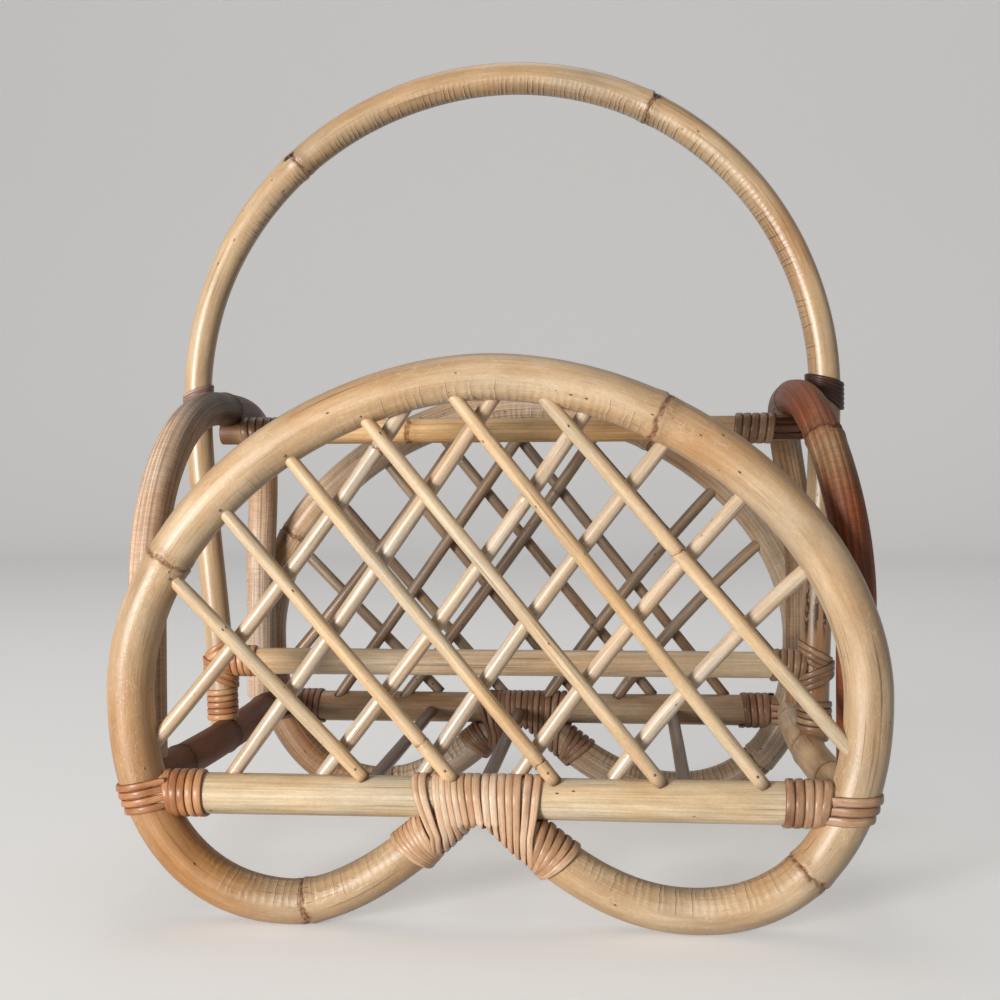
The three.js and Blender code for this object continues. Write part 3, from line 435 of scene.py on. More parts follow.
def pole(solid, line, radius, material, slot, rings=(), sides=32, step=2.0, taper=None, panel=0,
         shape=None, stain_and_shade=None, creased=None, thin_ends=(1.0, 1.0), ring_size=1.0, anchored=False):
    """A pole of rattan: a slightly uneven tube with jagged leaf rings and eased ends. Its marks are the
    inner side of its bends, its rings, and the stains and painted shade along it. An anchored pole's grain
    starts at a known place"""
    name = f"{solid}_rattan"
    rng = random.Random(name)
    ease = min(1.2, radius / 5)
    places = station_places(line, step, ease, rings, ring_size)
    share = places / line.length
    centre, along, up, side = line.frames(places)
    angle = np.linspace(0, FULL_TURN, sides, endpoint=False)
    cos, sin = np.cos(angle), np.sin(angle)
    radial = up[:, None] * cos[None, :, None] + side[:, None] * sin[None, :, None]
    s, a = places[:, None], angle[None, :]
    inner = np.zeros((len(places), sides))
    if creased is not None:
        inner = inner_side(places, along, radial) * creased(share)[:, None]
    wobble = [rng.uniform(0, FULL_TURN) for _ in range(8)]
    uneven = (0.008 * np.sin(s / 41 + wobble[0]) + 0.006 * np.sin(s / 17 + a + wobble[1])
              + 0.011 * np.cos(2 * a + s / 70 + wobble[2]))
    size = radius * (1 + uneven)
    if taper is not None:
        size = size * taper(share)[:, None]
    size = size * np.interp(share, [0, 0.12, 0.88, 1], [thin_ends[0], 1, 1, thin_ends[1]])[:, None]
    ring_mask = np.zeros_like(size)
    for ring in rings:
        relief, mask = leaf_ring(rng, (s - ring * line.length) / ring_size, a, wobble[3])
        size = size + min(1.0, radius / 10) * relief
        ring_mask += mask
    edge = np.minimum(places, line.length - places)
    rounding = ease * (1 - np.sqrt(np.clip(1 - (1 - np.clip(edge / ease, 0, 1)) ** 2, 0, 1)))
    size = size - rounding[:, None] * 0.8
    body = centre[:, None] + radial * size[..., None]
    points = closed(body, centre[[0, -1]])
    if shape is not None:
        points = shape(points)
    unbent = np.stack([np.broadcast_to(s, size.shape), size * cos, size * sin], axis=-1)
    rest = closed(unbent, [[places[0], 0, 0], [places[-1], 0, 0]])
    if not anchored:
        rest = rest + rng.uniform(100, 9000)
    dark = np.zeros_like(share) if stain_and_shade is None else stain_and_shade(share)
    marks = np.stack([inner, np.clip(ring_mask, 0, 1), np.broadcast_to(dark[:, None], size.shape)], axis=-1)
    add_piece(name, solid, points, tube_faces(len(places), sides), material, slot, panel, 2 * sides,
              rest=rest * MM, marks=closed(marks, [POLE_END_MARKS] * 2))


STRIP_PROFILE = np.array([(-0.97, -1), (-1, -0.1), (-0.94, 0.45), (-0.74, 0.8), (-0.36, 0.96), (0, 1),
                          (0.36, 0.96), (0.74, 0.8), (0.94, 0.45), (1, -0.1), (0.97, -1)])
STRIP_END_MARKS = (0.5, 1, 1)


def turn_tones(solid, turns):
    """One tone for each turn of a strip, with soft changes between them"""
    rng = random.Random(solid + "tones")
    values = [rng.random() for _ in range(int(math.ceil(turns.max())) + 2)]
    return np.interp(turns + 0.5, np.arange(len(values)), values)


def strip(solid, points, outs, width, thickness, material, turns, panel=0):
    """A domed strip of cane along a path, whose outs face away from what it is wound on. width is one
    number, or one for each point. Its marks are the tone of each turn, its edges and its underside"""
    name = f"{solid}_cane"
    rng = random.Random(name)
    points, outs = np.asarray(points, float), np.asarray(outs, float)
    along = unit(np.gradient(points, axis=0))
    outs = unit(outs - along * (outs * along).sum(-1)[:, None])
    across = np.cross(outs, along)
    places = walked(points)
    phase = rng.uniform(0, 6)
    swell = 1 + 0.035 * np.sin(places / 19 + phase) + 0.02 * np.sin(places / 6.3 + 2 * phase)
    end_gap = np.minimum(places, places[-1] - places)
    swell = swell * np.clip(0.75 + 0.25 * end_gap / 3, 0, 1) * np.asarray(width)
    flat, dome = STRIP_PROFILE.T
    wide = flat * (swell / 2)[:, None]
    high = dome * thickness / 2 + 0 * wide
    body = points[:, None] + across[:, None] * wide[..., None] + outs[:, None] * high[..., None]
    rest = np.stack([np.broadcast_to(places[:, None], wide.shape), wide, high], axis=-1)
    tones = turn_tones(solid, turns)[:, None]
    marks = np.stack(np.broadcast_arrays(tones, np.abs(flat) ** 9, np.clip(-dome, 0, 1)), axis=-1)
    rest = closed(rest, [[0, 0, 0], [places[-1], 0, 0]]) + rng.uniform(0, 9000)
    faces = [face[::-1] for face in tube_faces(len(places), len(flat))]
    add_piece(name, solid, closed(body, points[[0, -1]]), faces, material, "cane_lashing", panel,
              2 * len(flat), rest=rest * MM, marks=closed(marks, [STRIP_END_MARKS] * 2))


def winding(line, radius_at, up, turns, place_at, sense=1, thickness=STRIP_THICKNESS):
    """Turns about a round pole, whose place goes from an upper line to a lower one"""
    count = turns - 1 + LAST_TURN
    turn = np.linspace(0, count, int(count * TURN_STEPS))
    angle = FULL_TURN * turn
    upper, lower = place_at(turn)
    place = lower + (upper - lower) * (1 + np.cos(angle)) / 2
    centre, along, _, _ = line.frames(place)
    up = np.asarray(up, float)
    top = unit(up - along * (along @ up)[:, None])
    out = top * np.cos(angle)[:, None] + np.cross(along, top) * (sense * np.sin(angle))[:, None]
    offset = radius_at(place / line.length) + thickness / 2
    return centre + out * np.reshape(offset, (-1, 1)), out, turn


def pole_winding(solid, line, radius_at, up, turns, place_at, width, material, sense=1,
                 thickness=STRIP_THICKNESS, grow=0.0, panel=0):
    points, outs, turn = winding(line, radius_at, up, turns, place_at, sense, thickness)
    strip(solid, points + outs * grow, outs, width, thickness, material, turn, panel)


def belt(cloud, grow, count):
    """Closed tight path round a cloud of flat points, from its top, first towards the negative side"""
    angle = np.linspace(0, FULL_TURN, 181)
    facing = np.stack([-np.sin(angle), np.cos(angle)], axis=1)
    path = cloud[np.argmax(cloud @ facing.T, axis=0)] + facing * grow
    places = walked(path)
    wanted = np.linspace(0, places[-1], count)
    return between(wanted, places, path), between(wanted, places, facing)


def outer_pass(number, cloud, grow, count, start, height, tilt=0.0):
    """The part beyond a start of a level belt round a cloud, as points and outs at a height. Every
    second pass runs back"""
    path, facing = belt(cloud, grow, count)
    keep = path[:-1, 0] > start
    order = np.roll(np.arange(count - 1), -np.argmax(~keep))
    order = order[keep[order]][::-1 if number % 2 else 1]
    row = np.column_stack([path[order], np.full(len(order), height)])
    return row, np.column_stack([facing[order], np.full(len(order), tilt)])


def circle(centre, wide, high):
    angle = np.linspace(0, FULL_TURN, 90, endpoint=False)
    return np.stack([centre[0] + wide * np.cos(angle), centre[1] + high * np.sin(angle)], axis=1)


def srgb(red, green, blue):
    """Linear colour of a colour written with numbers up to 255"""
    values = []
    for value in (red / 255, green / 255, blue / 255):
        values.append(value / 12.92 if value <= 0.04045 else ((value + 0.055) / 1.055) ** 2.4)
    return (*values, 1)


class Shading:
    """A material and its nodes. Sockets given to a node are linked, and plain values are set"""

    def __init__(self, name):
        self.material = bpy.data.materials.new(name)
        self.material.use_nodes = True
        self.tree = self.material.node_tree

    def fill(self, inputs, values):
        for key, value in values.items():
            if isinstance(value, bpy.types.NodeSocket):
                self.tree.links.new(value, inputs[key])
            else:
                inputs[key].default_value = value

    def shade(self, values):
        self.fill(self.tree.nodes["Principled BSDF"].inputs, values)
        return self.material

    def add(self, kind, values=None, **settings):
        """Outputs of a new node"""
        made = self.tree.nodes.new(f"ShaderNode{kind}")
        for key, value in settings.items():
            setattr(made, key, value)
        self.fill(made.inputs, values or {})
        return made.outputs

    def calc(self, operation, first, second, clamp=False):
        return self.add("Math", {0: first, 1: second}, operation=operation, use_clamp=clamp)[0]

    def times(self, first, second):
        return self.calc("MULTIPLY", first, second)

    def most(self, first, second):
        return self.calc("MAXIMUM", first, second)

    def total(self, *parts):
        """Sum of values, each with its weight"""
        result = 0.0
        for value, weight in parts:
            result = self.add("Math", {0: value, 1: weight, 2: result}, operation="MULTIPLY_ADD")[0]
        return result

    def mix(self, kind, factor, first, second):
        return self.add("Mix", {0: factor, 6: first, 7: second}, data_type="RGBA", blend_type=kind)[2]

    def multiplied(self, factor, first, second):
        return self.mix("MULTIPLY", factor, first, second)

    def shaded(self, colour, value, blue):
        """A colour times a grey value, with a power on its blue"""
        grey = self.add("CombineColor", {0: value, 1: value, 2: self.calc("POWER", value, blue)})[0]
        return self.multiplied(1.0, colour, grey)

    def ramp(self, value, stops):
        colour = self.add("ValToRGB", {0: value})[0]
        elements = colour.node.color_ramp.elements
        while len(elements) < len(stops):
            elements.new(0.5)
        for element, (position, tint) in zip(elements, stops):
            element.position, element.color = position, tint
        return colour


class Surface(Shading):
    """A shading with its grain's noises, from the unbent place of each point"""

    def __init__(self, name):
        super().__init__(name)
        rest = self.add("Attribute", attribute_name="rest")
        marks = self.add("Attribute", attribute_name="marks")
        self.rest = rest["Vector"]
        self.place = self.add("SeparateXYZ", {0: self.rest})[0]
        self.marks = self.add("SeparateXYZ", {0: marks["Vector"]})

    def vector(self, operation, first, second):
        return self.add("VectorMath", {0: first, 1: second}, operation=operation)[0]

    def stretched(self, along, across):
        return self.vector("MULTIPLY", self.rest, (along, across, across))

    def noise(self, along, across, detail=2.0, roughness=0.5):
        return self.add("TexNoise", {"Vector": self.stretched(along, across), "Scale": 1.0,
                                     "Detail": detail, "Roughness": roughness})[0]

    def cells(self, vector, **settings):
        return self.add("TexVoronoi", {"Vector": vector, "Scale": 1.0}, **settings)

    def ranged(self, value, low, high, out_low=0.0, out_high=1.0):
        return self.add("MapRange", {"Value": value, "From Min": low, "From Max": high, "To Min": out_low,
                                     "To Max": out_high}, interpolation_type="SMOOTHSTEP")[0]

    def spot(self, place, angle, radius, half_length, half_width, soft=0.25):
        """Mask of an oval on a pole's skin, at a place along it and an angle from its front"""
        turn = math.radians(angle)
        centre = (place * MM, radius * math.cos(turn) * MM, radius * math.sin(turn) * MM)
        away = self.vector("SUBTRACT", self.rest, centre)
        size = (1 / (half_length * MM), 1 / (half_width * MM), 1 / (half_width * MM))
        scaled = self.vector("MULTIPLY", away, size)
        far = self.add("VectorMath", {0: scaled}, operation="LENGTH")["Value"]
        return self.ranged(far, 1 - soft, 1 + soft, 1.0, 0.0)

    def creases(self, spacing, scale, tooth, short):
        """Creases across the inner side of a bend, each as long as it likes: cuts, lips and swells. The cuts
        carry painted shade and the lips painted highlight
        """
        warp = self.noise(60, 130 / scale)
        walk = self.total((self.place, 1000 / spacing), (warp, 0.8))
        cells = self.add("TexVoronoi", {"W": walk, "Scale": 1.0, "Randomness": 0.65},
                         voronoi_dimensions="1D")
        own = self.add("SeparateColor", {0: cells["Color"]})[0]
        reach = self.ranged(own, 0.0, 1.0, short, 0.85)
        inside = self.calc("SUBTRACT", self.marks[0], reach)
        wide = self.most(self.total((inside, tooth), (0.045, 1.0)), 0.04)
        seen = self.ranged(inside, 0.0, 0.15)
        gap = cells["Distance"]
        cut = self.times(self.ranged(gap, 0.0, wide, 1.0, 0.0), seen)
        lip_highlight = self.times(self.ranged(gap, wide, self.total((wide, 1.0), (0.12, 1.0)), 1.0, 0.0), seen)
        swell = self.times(self.ranged(gap, 0.0, 0.5), self.ranged(self.marks[0], 0.1, 0.6))
        return cut, self.calc("SUBTRACT", lip_highlight, cut, True), swell

    def veins(self):
        """Pale crooked veins in some patches of the skin"""
        scaled = self.stretched(95, 150)
        drift = self.add("TexNoise", {"Vector": scaled, "Scale": 1.6, "Detail": 3.0})[1]
        drift = self.vector("MULTIPLY", drift, (1.1, 1.1, 1.1))
        cells = self.cells(self.vector("ADD", scaled, drift), feature="DISTANCE_TO_EDGE")
        line = self.ranged(cells["Distance"], 0.0, 0.04, 1.0, 0.0)
        return self.times(line, self.ranged(self.noise(24, 60), 0.48, 0.62))

    def specks(self):
        """Small dark pits, a little longer than wide"""
        cells = self.cells(self.stretched(110, 240))
        dot = self.ranged(cells["Distance"], 0.05, 0.15, 1.0, 0.0)
        red = self.add("SeparateColor", {0: cells["Color"]})[0]
        return self.times(dot, self.ranged(red, 1 - SPECK_SHARE, 1.02 - SPECK_SHARE))

    def finish(self, colour, roughness, height, depth, coat, coat_roughness):
        bump = self.add("Bump", {"Height": height, "Distance": depth, "Strength": 1.0})[0]
        return self.shade({"Base Color": colour, "Roughness": roughness, "Normal": bump, "Coat Weight": coat,
                           "Coat Roughness": coat_roughness, "Specular IOR Level": 0.35})


# Colours of the skins and canes are red, green and blue up to 255
BROWN = (96, 62, 40)
TAN = (226, 182, 120)
GROOVE = (140, 84, 52)
TINTS = [(0.34, srgb(236, 242, 250)), (0.5, srgb(255, 253, 250)), (0.66, srgb(255, 242, 226))]
PIT_TINT = srgb(120, 100, 90)
RING_TINT = srgb(152, 110, 80)
SPECK_SHARE = 0.16
SKIN_RELIEF = 0.0004
CANE_RELIEF = 0.0003


def rattan(name, dark, middle, light, stain_and_shade=BROWN, wash_and_shadow=TAN, crease=0.5, spacing=4.6, tooth=0.05,
           short=0.18, swells=1.0, shade=0.0, streaks=0.14, lines=0.5, ribs=0.0, veins=0.0, coat=0.2,
           gloss=0.25, rough=0.42, scale=1.0, pits=(), worn=()):
    """Skin of a rattan pole: fibres, patches, creases at bends with painted shade in their cuts and painted
    highlight on their lips, specks, leaf rings, stains, and painted shade on the inner side of bends where
    asked
    """
    dark, middle, light, stain_and_shade, wash_and_shadow = (srgb(*tint) for tint in (dark, middle, light, stain_and_shade, wash_and_shadow))
    it = Surface(f"rattan_{name}")
    tone = it.noise(5, 42 / scale, 3, 0.55)
    patch = it.noise(26, 95 / scale, 4, 0.65)
    hue = it.noise(11, 26 / scale, 3, 0.55)
    fibre = it.noise(14, 850, 4, 0.65)
    hair = it.noise(70, 3400, 2, 0.6)
    stripes = it.noise(2.5, 820)
    grain = it.noise(420, 900, 3, 0.7)
    weave = it.noise(1500, 110)
    colour = it.ramp(it.total((tone, 0.55), (patch, 0.45)), [(0.34, dark), (0.5, middle), (0.64, light)])
    colour = it.multiplied(1.0, colour, it.ramp(hue, TINTS))
    for noise, low, high, darker, lighter, blue in (
            (fibre, 0.3, 0.7, streaks, streaks * 0.4, 1.25), (grain, 0.3, 0.7, 0.07, 0.04, 1.1),
            (stripes, 0.38, 0.62, ribs, ribs * 0.25, 1.1), (weave, 0.35, 0.65, 0.6 * ribs, 0.0, 1.1)):
        colour = it.shaded(colour, it.ranged(noise, low, high, 1 - darker, 1 + lighter), blue)
    vein = it.veins() if veins else 0.0
    if veins:
        colour = it.mix("MIX", it.times(vein, veins), colour, light)
    thread = it.times(it.ranged(it.noise(8, 700, 3, 0.6), 0.57, 0.66), it.ranged(it.noise(11, 40), 0.45, 0.6))
    colour = it.multiplied(it.times(thread, lines), colour, stain_and_shade)
    colour = it.multiplied(it.times(it.marks[2], 0.9), colour, wash_and_shadow)
    cut, lip_highlight, swell = it.creases(spacing, scale, tooth, short)
    # Painted shade: the inner side of the bends is darkened towards the stain colour
    if shade:
        colour = it.multiplied(it.times(it.ranged(it.marks[0], 0.3, 1.0), shade), colour, stain_and_shade)
    # Painted highlight on the creases' lips, and painted shade in their cuts
    colour = it.mix("MIX", it.times(lip_highlight, crease * 0.4), colour, light)
    colour = it.multiplied(it.times(cut, crease), colour, stain_and_shade)
    dot = it.specks()
    for pit in pits:
        dot = it.most(dot, it.spot(*pit))
    holes = it.ranged(it.noise(300, 900, 2, 0.6), 0.4, 0.46)
    for place in worn:
        dot = it.most(dot, it.times(it.spot(*place, soft=0.4), holes))
    colour = it.mix("MIX", it.times(dot, 0.92), colour, it.multiplied(1.0, stain_and_shade, PIT_TINT))
    ring = it.times(it.marks[1], it.ranged(it.noise(330, 420, 3, 0.7), 0.3, 0.6, 0.3, 1.0))
    colour = it.multiplied(it.times(ring, 0.9), colour, RING_TINT)
    dry = it.total((fibre, 0.8), (patch, 0.6), (ring, 0.5))
    roughness = it.ranged(dry, 0.45, 1.05, rough - 0.12, rough + 0.16)
    jagged = it.ranged(it.noise(900, 900), 0.3, 0.7, -0.5, 0.3)
    height = it.total(
        (fibre, 0.32), (hair, 0.12), (grain, 0.16), (stripes, 1.6 * ribs), (weave, 0.16 + 0.5 * ribs),
        (patch, 0.3), (cut, -0.5), (swell, swells * crease), (vein, 0.5 * veins), (thread, -0.3 * lines),
        (dot, -0.7), (ring, jagged))
    return it.finish(colour, roughness, height, SKIN_RELIEF, coat, gloss)


def cane(name, dark, middle, light, groove=GROOVE, coat=0.22):
    """Varnished cane strip: a little tone for each turn, fine fibres, and dirt with painted shade along its
    edges, and painted shade on its underside
    """
    dark, middle, light, groove = (srgb(*tint) for tint in (dark, middle, light, groove))
    it = Surface(f"cane_{name}")
    fibre = it.noise(25, 1500, 4, 0.7)
    patch = it.noise(60, 150, 4, 0.65)
    grain = it.noise(500, 1500, 3, 0.7)
    knot = it.ranged(it.noise(24, 30), 0.66, 0.74)
    tone = it.total((it.marks[0], 0.3), (patch, 0.7))
    colour = it.ramp(tone, [(0.32, dark), (0.5, middle), (0.66, light)])
    colour = it.shaded(colour, it.ranged(fibre, 0.3, 0.7, 0.74, 1.08), 1.15)
    colour = it.shaded(colour, it.ranged(grain, 0.3, 0.7, 0.9, 1.05), 1.1)
    colour = it.multiplied(it.times(knot, 0.5), colour, groove)
    # Painted shade where the turns meet at the strip's edges and on its underside, with some dirt at the
    # edges
    dirt_and_shade = it.most(it.times(it.marks[1], 0.9), it.marks[2])
    colour = it.multiplied(dirt_and_shade, colour, groove)
    roughness = it.ranged(it.total((fibre, 0.6), (patch, 0.4)), 0.3, 0.7, 0.34, 0.6)
    height = it.total((fibre, 0.7), (patch, 0.6), (grain, 0.3))
    return it.finish(colour, roughness, height, CANE_RELIEF, coat, 0.25)


# Colour of the painted shadow at the ends of the lattice rods, where they meet the frame and the rail
ROD_SHADOW_TINT = (120, 86, 62)
ARCH_STAIN = (60, 36, 24)
FRAME_SKINS = {
    -1: rattan("front_frame", (182, 148, 112), (206, 176, 140), (226, 202, 170), streaks=0.11, lines=0.55,
               veins=0.45, coat=0.3, gloss=0.34, rough=0.4),
    1: rattan("back_frame", (184, 152, 124), (214, 184, 154), (231, 206, 180), wash_and_shadow=(184, 152, 124),
              crease=0.8, tooth=0.15, swells=1.5, ribs=0.25),
}
RAIL_SKINS = {
    -1: rattan("rail", (204, 176, 138), (222, 198, 162), (236, 218, 190), streaks=0.2),
    # The back rail is a darker copy of the front rail's skin: painted shade
    1: rattan("back_rail", (142, 112, 84), (174, 142, 110), (198, 170, 138), streaks=0.2),
}
# Pits beside the handle's rings, and worn holes in its right leg: place, angle, radius and half sizes
left_ring, right_ring = HANDLE_RINGS[0] * HANDLE.length, HANDLE_RINGS[1] * HANDLE.length
leg_holes = handle_place(1, HOLES_HEIGHT)
# The handle's shade value paints shade on the inner side of its bends
HANDLE_SKIN = rattan(
    "handle", (182, 148, 108), (204, 172, 134), (222, 196, 160), wash_and_shadow=(196, 160, 126), crease=0.6,
    spacing=3.5, tooth=0.5, short=0.42, swells=0.6, shade=0.3, coat=0.6, gloss=0.3, rough=0.37, veins=0.2,
    pits=[(left_ring - 1, -38, 10.2, 4.2, 2.0), (right_ring + 1, -42, 10.2, 3.0, 2.2)],
    worn=[(leg_holes, 46, 9.8, 19, 2.0), (leg_holes + 2, 12, 9.8, 11, 1.7),
          (leg_holes - 1, -24, 9.8, 17, 1.4)])
FALLING_SKIN = rattan("falling_rod", (202, 169, 130), (224, 195, 157), (238, 215, 182), wash_and_shadow=ROD_SHADOW_TINT,
                      scale=0.4)
RISING_SKIN = rattan("rising_rod", (192, 166, 136), (214, 192, 166), (232, 216, 196), wash_and_shadow=ROD_SHADOW_TINT,
                     scale=0.4, coat=0.6, rough=0.34)
FLOOR_ROD_SKIN = rattan("floor_rod", (98, 72, 54), (128, 98, 76), (156, 126, 100), scale=0.4)
# The back rods are a darker copy of the front rods' skins: painted shade
SHADED_BACK_ROD_SKIN = rattan("back_rod", (124, 98, 76), (158, 132, 108), (184, 160, 136), wash_and_shadow=ROD_SHADOW_TINT, scale=0.4)
ARCH_SKINS = {
    # The left arch's darker wash paints shadow on its far side past the top
    -1: rattan("left_arch", (194, 158, 132), (221, 188, 162), (236, 211, 188), ARCH_STAIN, (98, 70, 58),
               ribs=0.3, streaks=0.24, lines=0.8, coat=0.08, rough=0.55),
    1: rattan("right_arch", (150, 112, 78), (180, 144, 108), (204, 172, 136), ARCH_STAIN, (214, 130, 80),
              ribs=0.34, streaks=0.3, coat=0.0, rough=0.5),
}
BASE_SKINS = {
    -1: rattan("left_base", (94, 56, 36), (126, 80, 54), (154, 108, 80), (34, 20, 12), coat=0.0, rough=0.6),
    1: rattan("right_base", (188, 154, 116), (224, 192, 154), (240, 216, 186), (60, 42, 28), coat=0.05,
              rough=0.55),
}
MIDDLE_RAIL_SKIN = rattan("middle_rail", (206, 172, 130), (233, 199, 158), (244, 219, 185), streaks=0.2,
                          coat=0.5)
TOP_RAIL_SKIN = rattan("top_rail", (192, 148, 102), (230, 186, 132), (246, 211, 162), wash_and_shadow=(104, 76, 60),
                       streaks=0.25, coat=0.05, rough=0.55)

CENTRE_CANE = cane("centre", (204, 158, 120), (224, 184, 148), (238, 208, 178), coat=0.3)
SIDE_CANE = cane("sides", (170, 110, 68), (200, 140, 94), (222, 170, 126), coat=0.4)
LOBE_CANE = cane("lobes", (168, 122, 88), (202, 156, 118), (226, 190, 154), coat=0.3)
RIGHT_CANE = cane("right", (150, 110, 80), (184, 142, 108), (208, 172, 140), coat=0.35)
BROWN_CANE = cane("brown", (128, 94, 66), (162, 124, 92), (188, 152, 118), (90, 58, 38), 0.4)
GREY_CANE = cane("grey", (150, 118, 108), (184, 150, 136), (206, 180, 168), (110, 70, 60))
DARK_CANE = cane("dark", (58, 32, 22), (88, 50, 34), (120, 76, 54), (60, 34, 22))
# The back panel's cane is a darker copy of the front canes: painted shade
SHADED_BACK_CANE = cane("back", (114, 80, 58), (150, 110, 82), (180, 140, 110), (96, 60, 42))
NAIL = Shading("nail_head").shade({"Base Color": (0.2, 0.17, 0.14, 1), "Metallic": 1, "Roughness": 0.45})


def seated(points):
    """The frame's tails are planed flat where the rail sits on them, and its lobes where they stand"""
    high = (np.abs(points[:, 0]) < LOBE_CENTRE / 2) & (points[:, 2] > SEAT_HEIGHT) & (points[:, 2] < 150)
    points[high, 2] = SEAT_HEIGHT
    points[:, 2] = np.maximum(points[:, 2], 0)
    return points


def spots(*places):
    """Shares along a pole, from places with a middle, a half width and a strength each"""
    def amount(share):
        total = np.zeros_like(share)
        for middle, half, strength in places:
            total += strength * np.exp(-((share - middle) / half) ** 2)
        return np.clip(total, 0, 1)
    return amount


# Places across the panel of the middle lashing's turns, on top of the rail and under the tails
CENTRE_TOPS = np.array([-40.8, -37.0, -29.3, -25.9, -22.5, -19.3, -15.7, -11.5, -7.3, -2.1, 2.1, 6.6, 11.0,
                        15.2, 21.2, 26.2])
CENTRE_BOTTOMS = np.array([-30.2, -27.4, -23.4, -20.2, -16.6, -13.2, -9.8, -6.4, -3.0, 0.6, 4.2, 8.0, 11.6,
                           15.2, 18.8, 22.4])


def centre_lashing(panel, material):
    """The middle lashing's turns round the rail and the tails under it"""
    thickness, steps = 1.9, 44
    numbers = np.arange(len(CENTRE_TOPS))
    top_widths = np.clip(np.gradient(CENTRE_TOPS) * 1.03, 3.6, 4.6)
    low_widths = np.clip(np.gradient(CENTRE_BOTTOMS) * 1.06, 3.0, 4.2)
    rail = circle((0, RAIL_HEIGHT), RAIL_RADIUS, RAIL_RADIUS)
    points, outs, turn_of, widths = [], [], [], []
    for i in range(int((len(numbers) - 1 + LAST_TURN) * steps)):
        turn = i / steps
        share = turn % 1
        number = int(turn + 1e-9) + max(0, share - 0.5) * 2
        low_x, high_x, low_width, high_width = (
            np.interp(number, numbers, values)
            for values in (CENTRE_BOTTOMS, CENTRE_TOPS, low_widths, top_widths))
        height, slope = tail_at(low_x)
        tail = circle((0, float(height)), TAIL_RADIUS, TAIL_RADIUS / math.cos(slope))
        tail[:, 1] = np.minimum(tail[:, 1], SEAT_HEIGHT)
        path, facing = belt(np.concatenate([rail, tail]), thickness / 2 + 0.1, steps + 1)
        k = int(share * steps)
        past = share * steps - k
        point = path[k] + (path[k + 1] - path[k]) * past
        out = facing[k] + (facing[k + 1] - facing[k]) * past
        lean = np.clip((RAIL_HEIGHT + RAIL_RADIUS - point[1]) / 30, 0, 1)
        lean = lean * (0.6 + 0.4 * lean)
        slant = math.tan(slope) * (1 if low_x < MEETING_SHIFT else -1)
        points.append((high_x + (low_x - high_x) * lean, point[0], point[1]))
        outs.append((slant * np.clip(-out[1], 0, 1), out[0], out[1]))
        turn_of.append(turn)
        widths.append(high_width + (low_width - high_width) * lean)
    strip(f"{PANELS[panel]}_centre_lashing", points, unit(np.array(outs)), np.array(widths), thickness,
          material, np.array(turn_of), panel)


def lobe_lashing(panel, end, material):
    """Turns round a lobe that fan out from under the middle lashing's corner"""
    turns, spans, high_width, low_width = (
        (7, ((-31, -46), (-35, -40.5)), 3.2, 1.9) if end < 0 else (5, ((21.5, 40), (30, 34.5)), 4.4, 2.6))
    low_share, high_share = (0, LEFT_LOBE) if end < 0 else (RIGHT_LOBE, 1)
    places = np.linspace(low_share, high_share, 600) * FRAME.length
    x = FRAME.at(places)[:, 0]
    order = np.argsort(x)
    def place_at(turn):
        share = turn / (turns - 1)
        return [np.interp(first + (last - first) * share, x[order], places[order]) for first, last in spans]
    points, outs, turn = winding(FRAME, frame_radius_at, ABOVE, turns, place_at, -1)
    low = np.clip(-outs[:, 2], 0, 1)
    points = points + outs * (0.22 * turn * low)[:, None]
    under_rail = np.abs(points[:, 1]) < RAIL_RADIUS * 0.7
    points[under_rail, 2] = np.minimum(points[under_rail, 2], SEAT_HEIGHT + 0.5)
    strip(f"{PANELS[panel]}_{SIDES[end]}_lobe_lashing", points, outs,
          high_width + (low_width - high_width) * low, STRIP_THICKNESS, material, turn, panel)


def rail_lashing(panel, end, material):
    """Turns round the end of a panel's rail, the first ones leaning"""
    start, pitch, width = (180.7, 4.75, 4.5) if end < 0 else (181.0, 5.1, 4.9)
    def place_at(turn):
        lean = 4.0 * np.clip(1 - turn / 1.5, 0, 1)
        return start - turn * pitch, start - lean - turn * pitch * 0.97
    pole_winding(f"{PANELS[panel]}_{SIDES[end]}_rail_lashing", level(0, end * RAIL_REACH, RAIL_HEIGHT),
                 lambda share: RAIL_RADIUS, ABOVE, 5, place_at, width, material, end,
                 thickness=2.1, grow=-0.15, panel=panel)


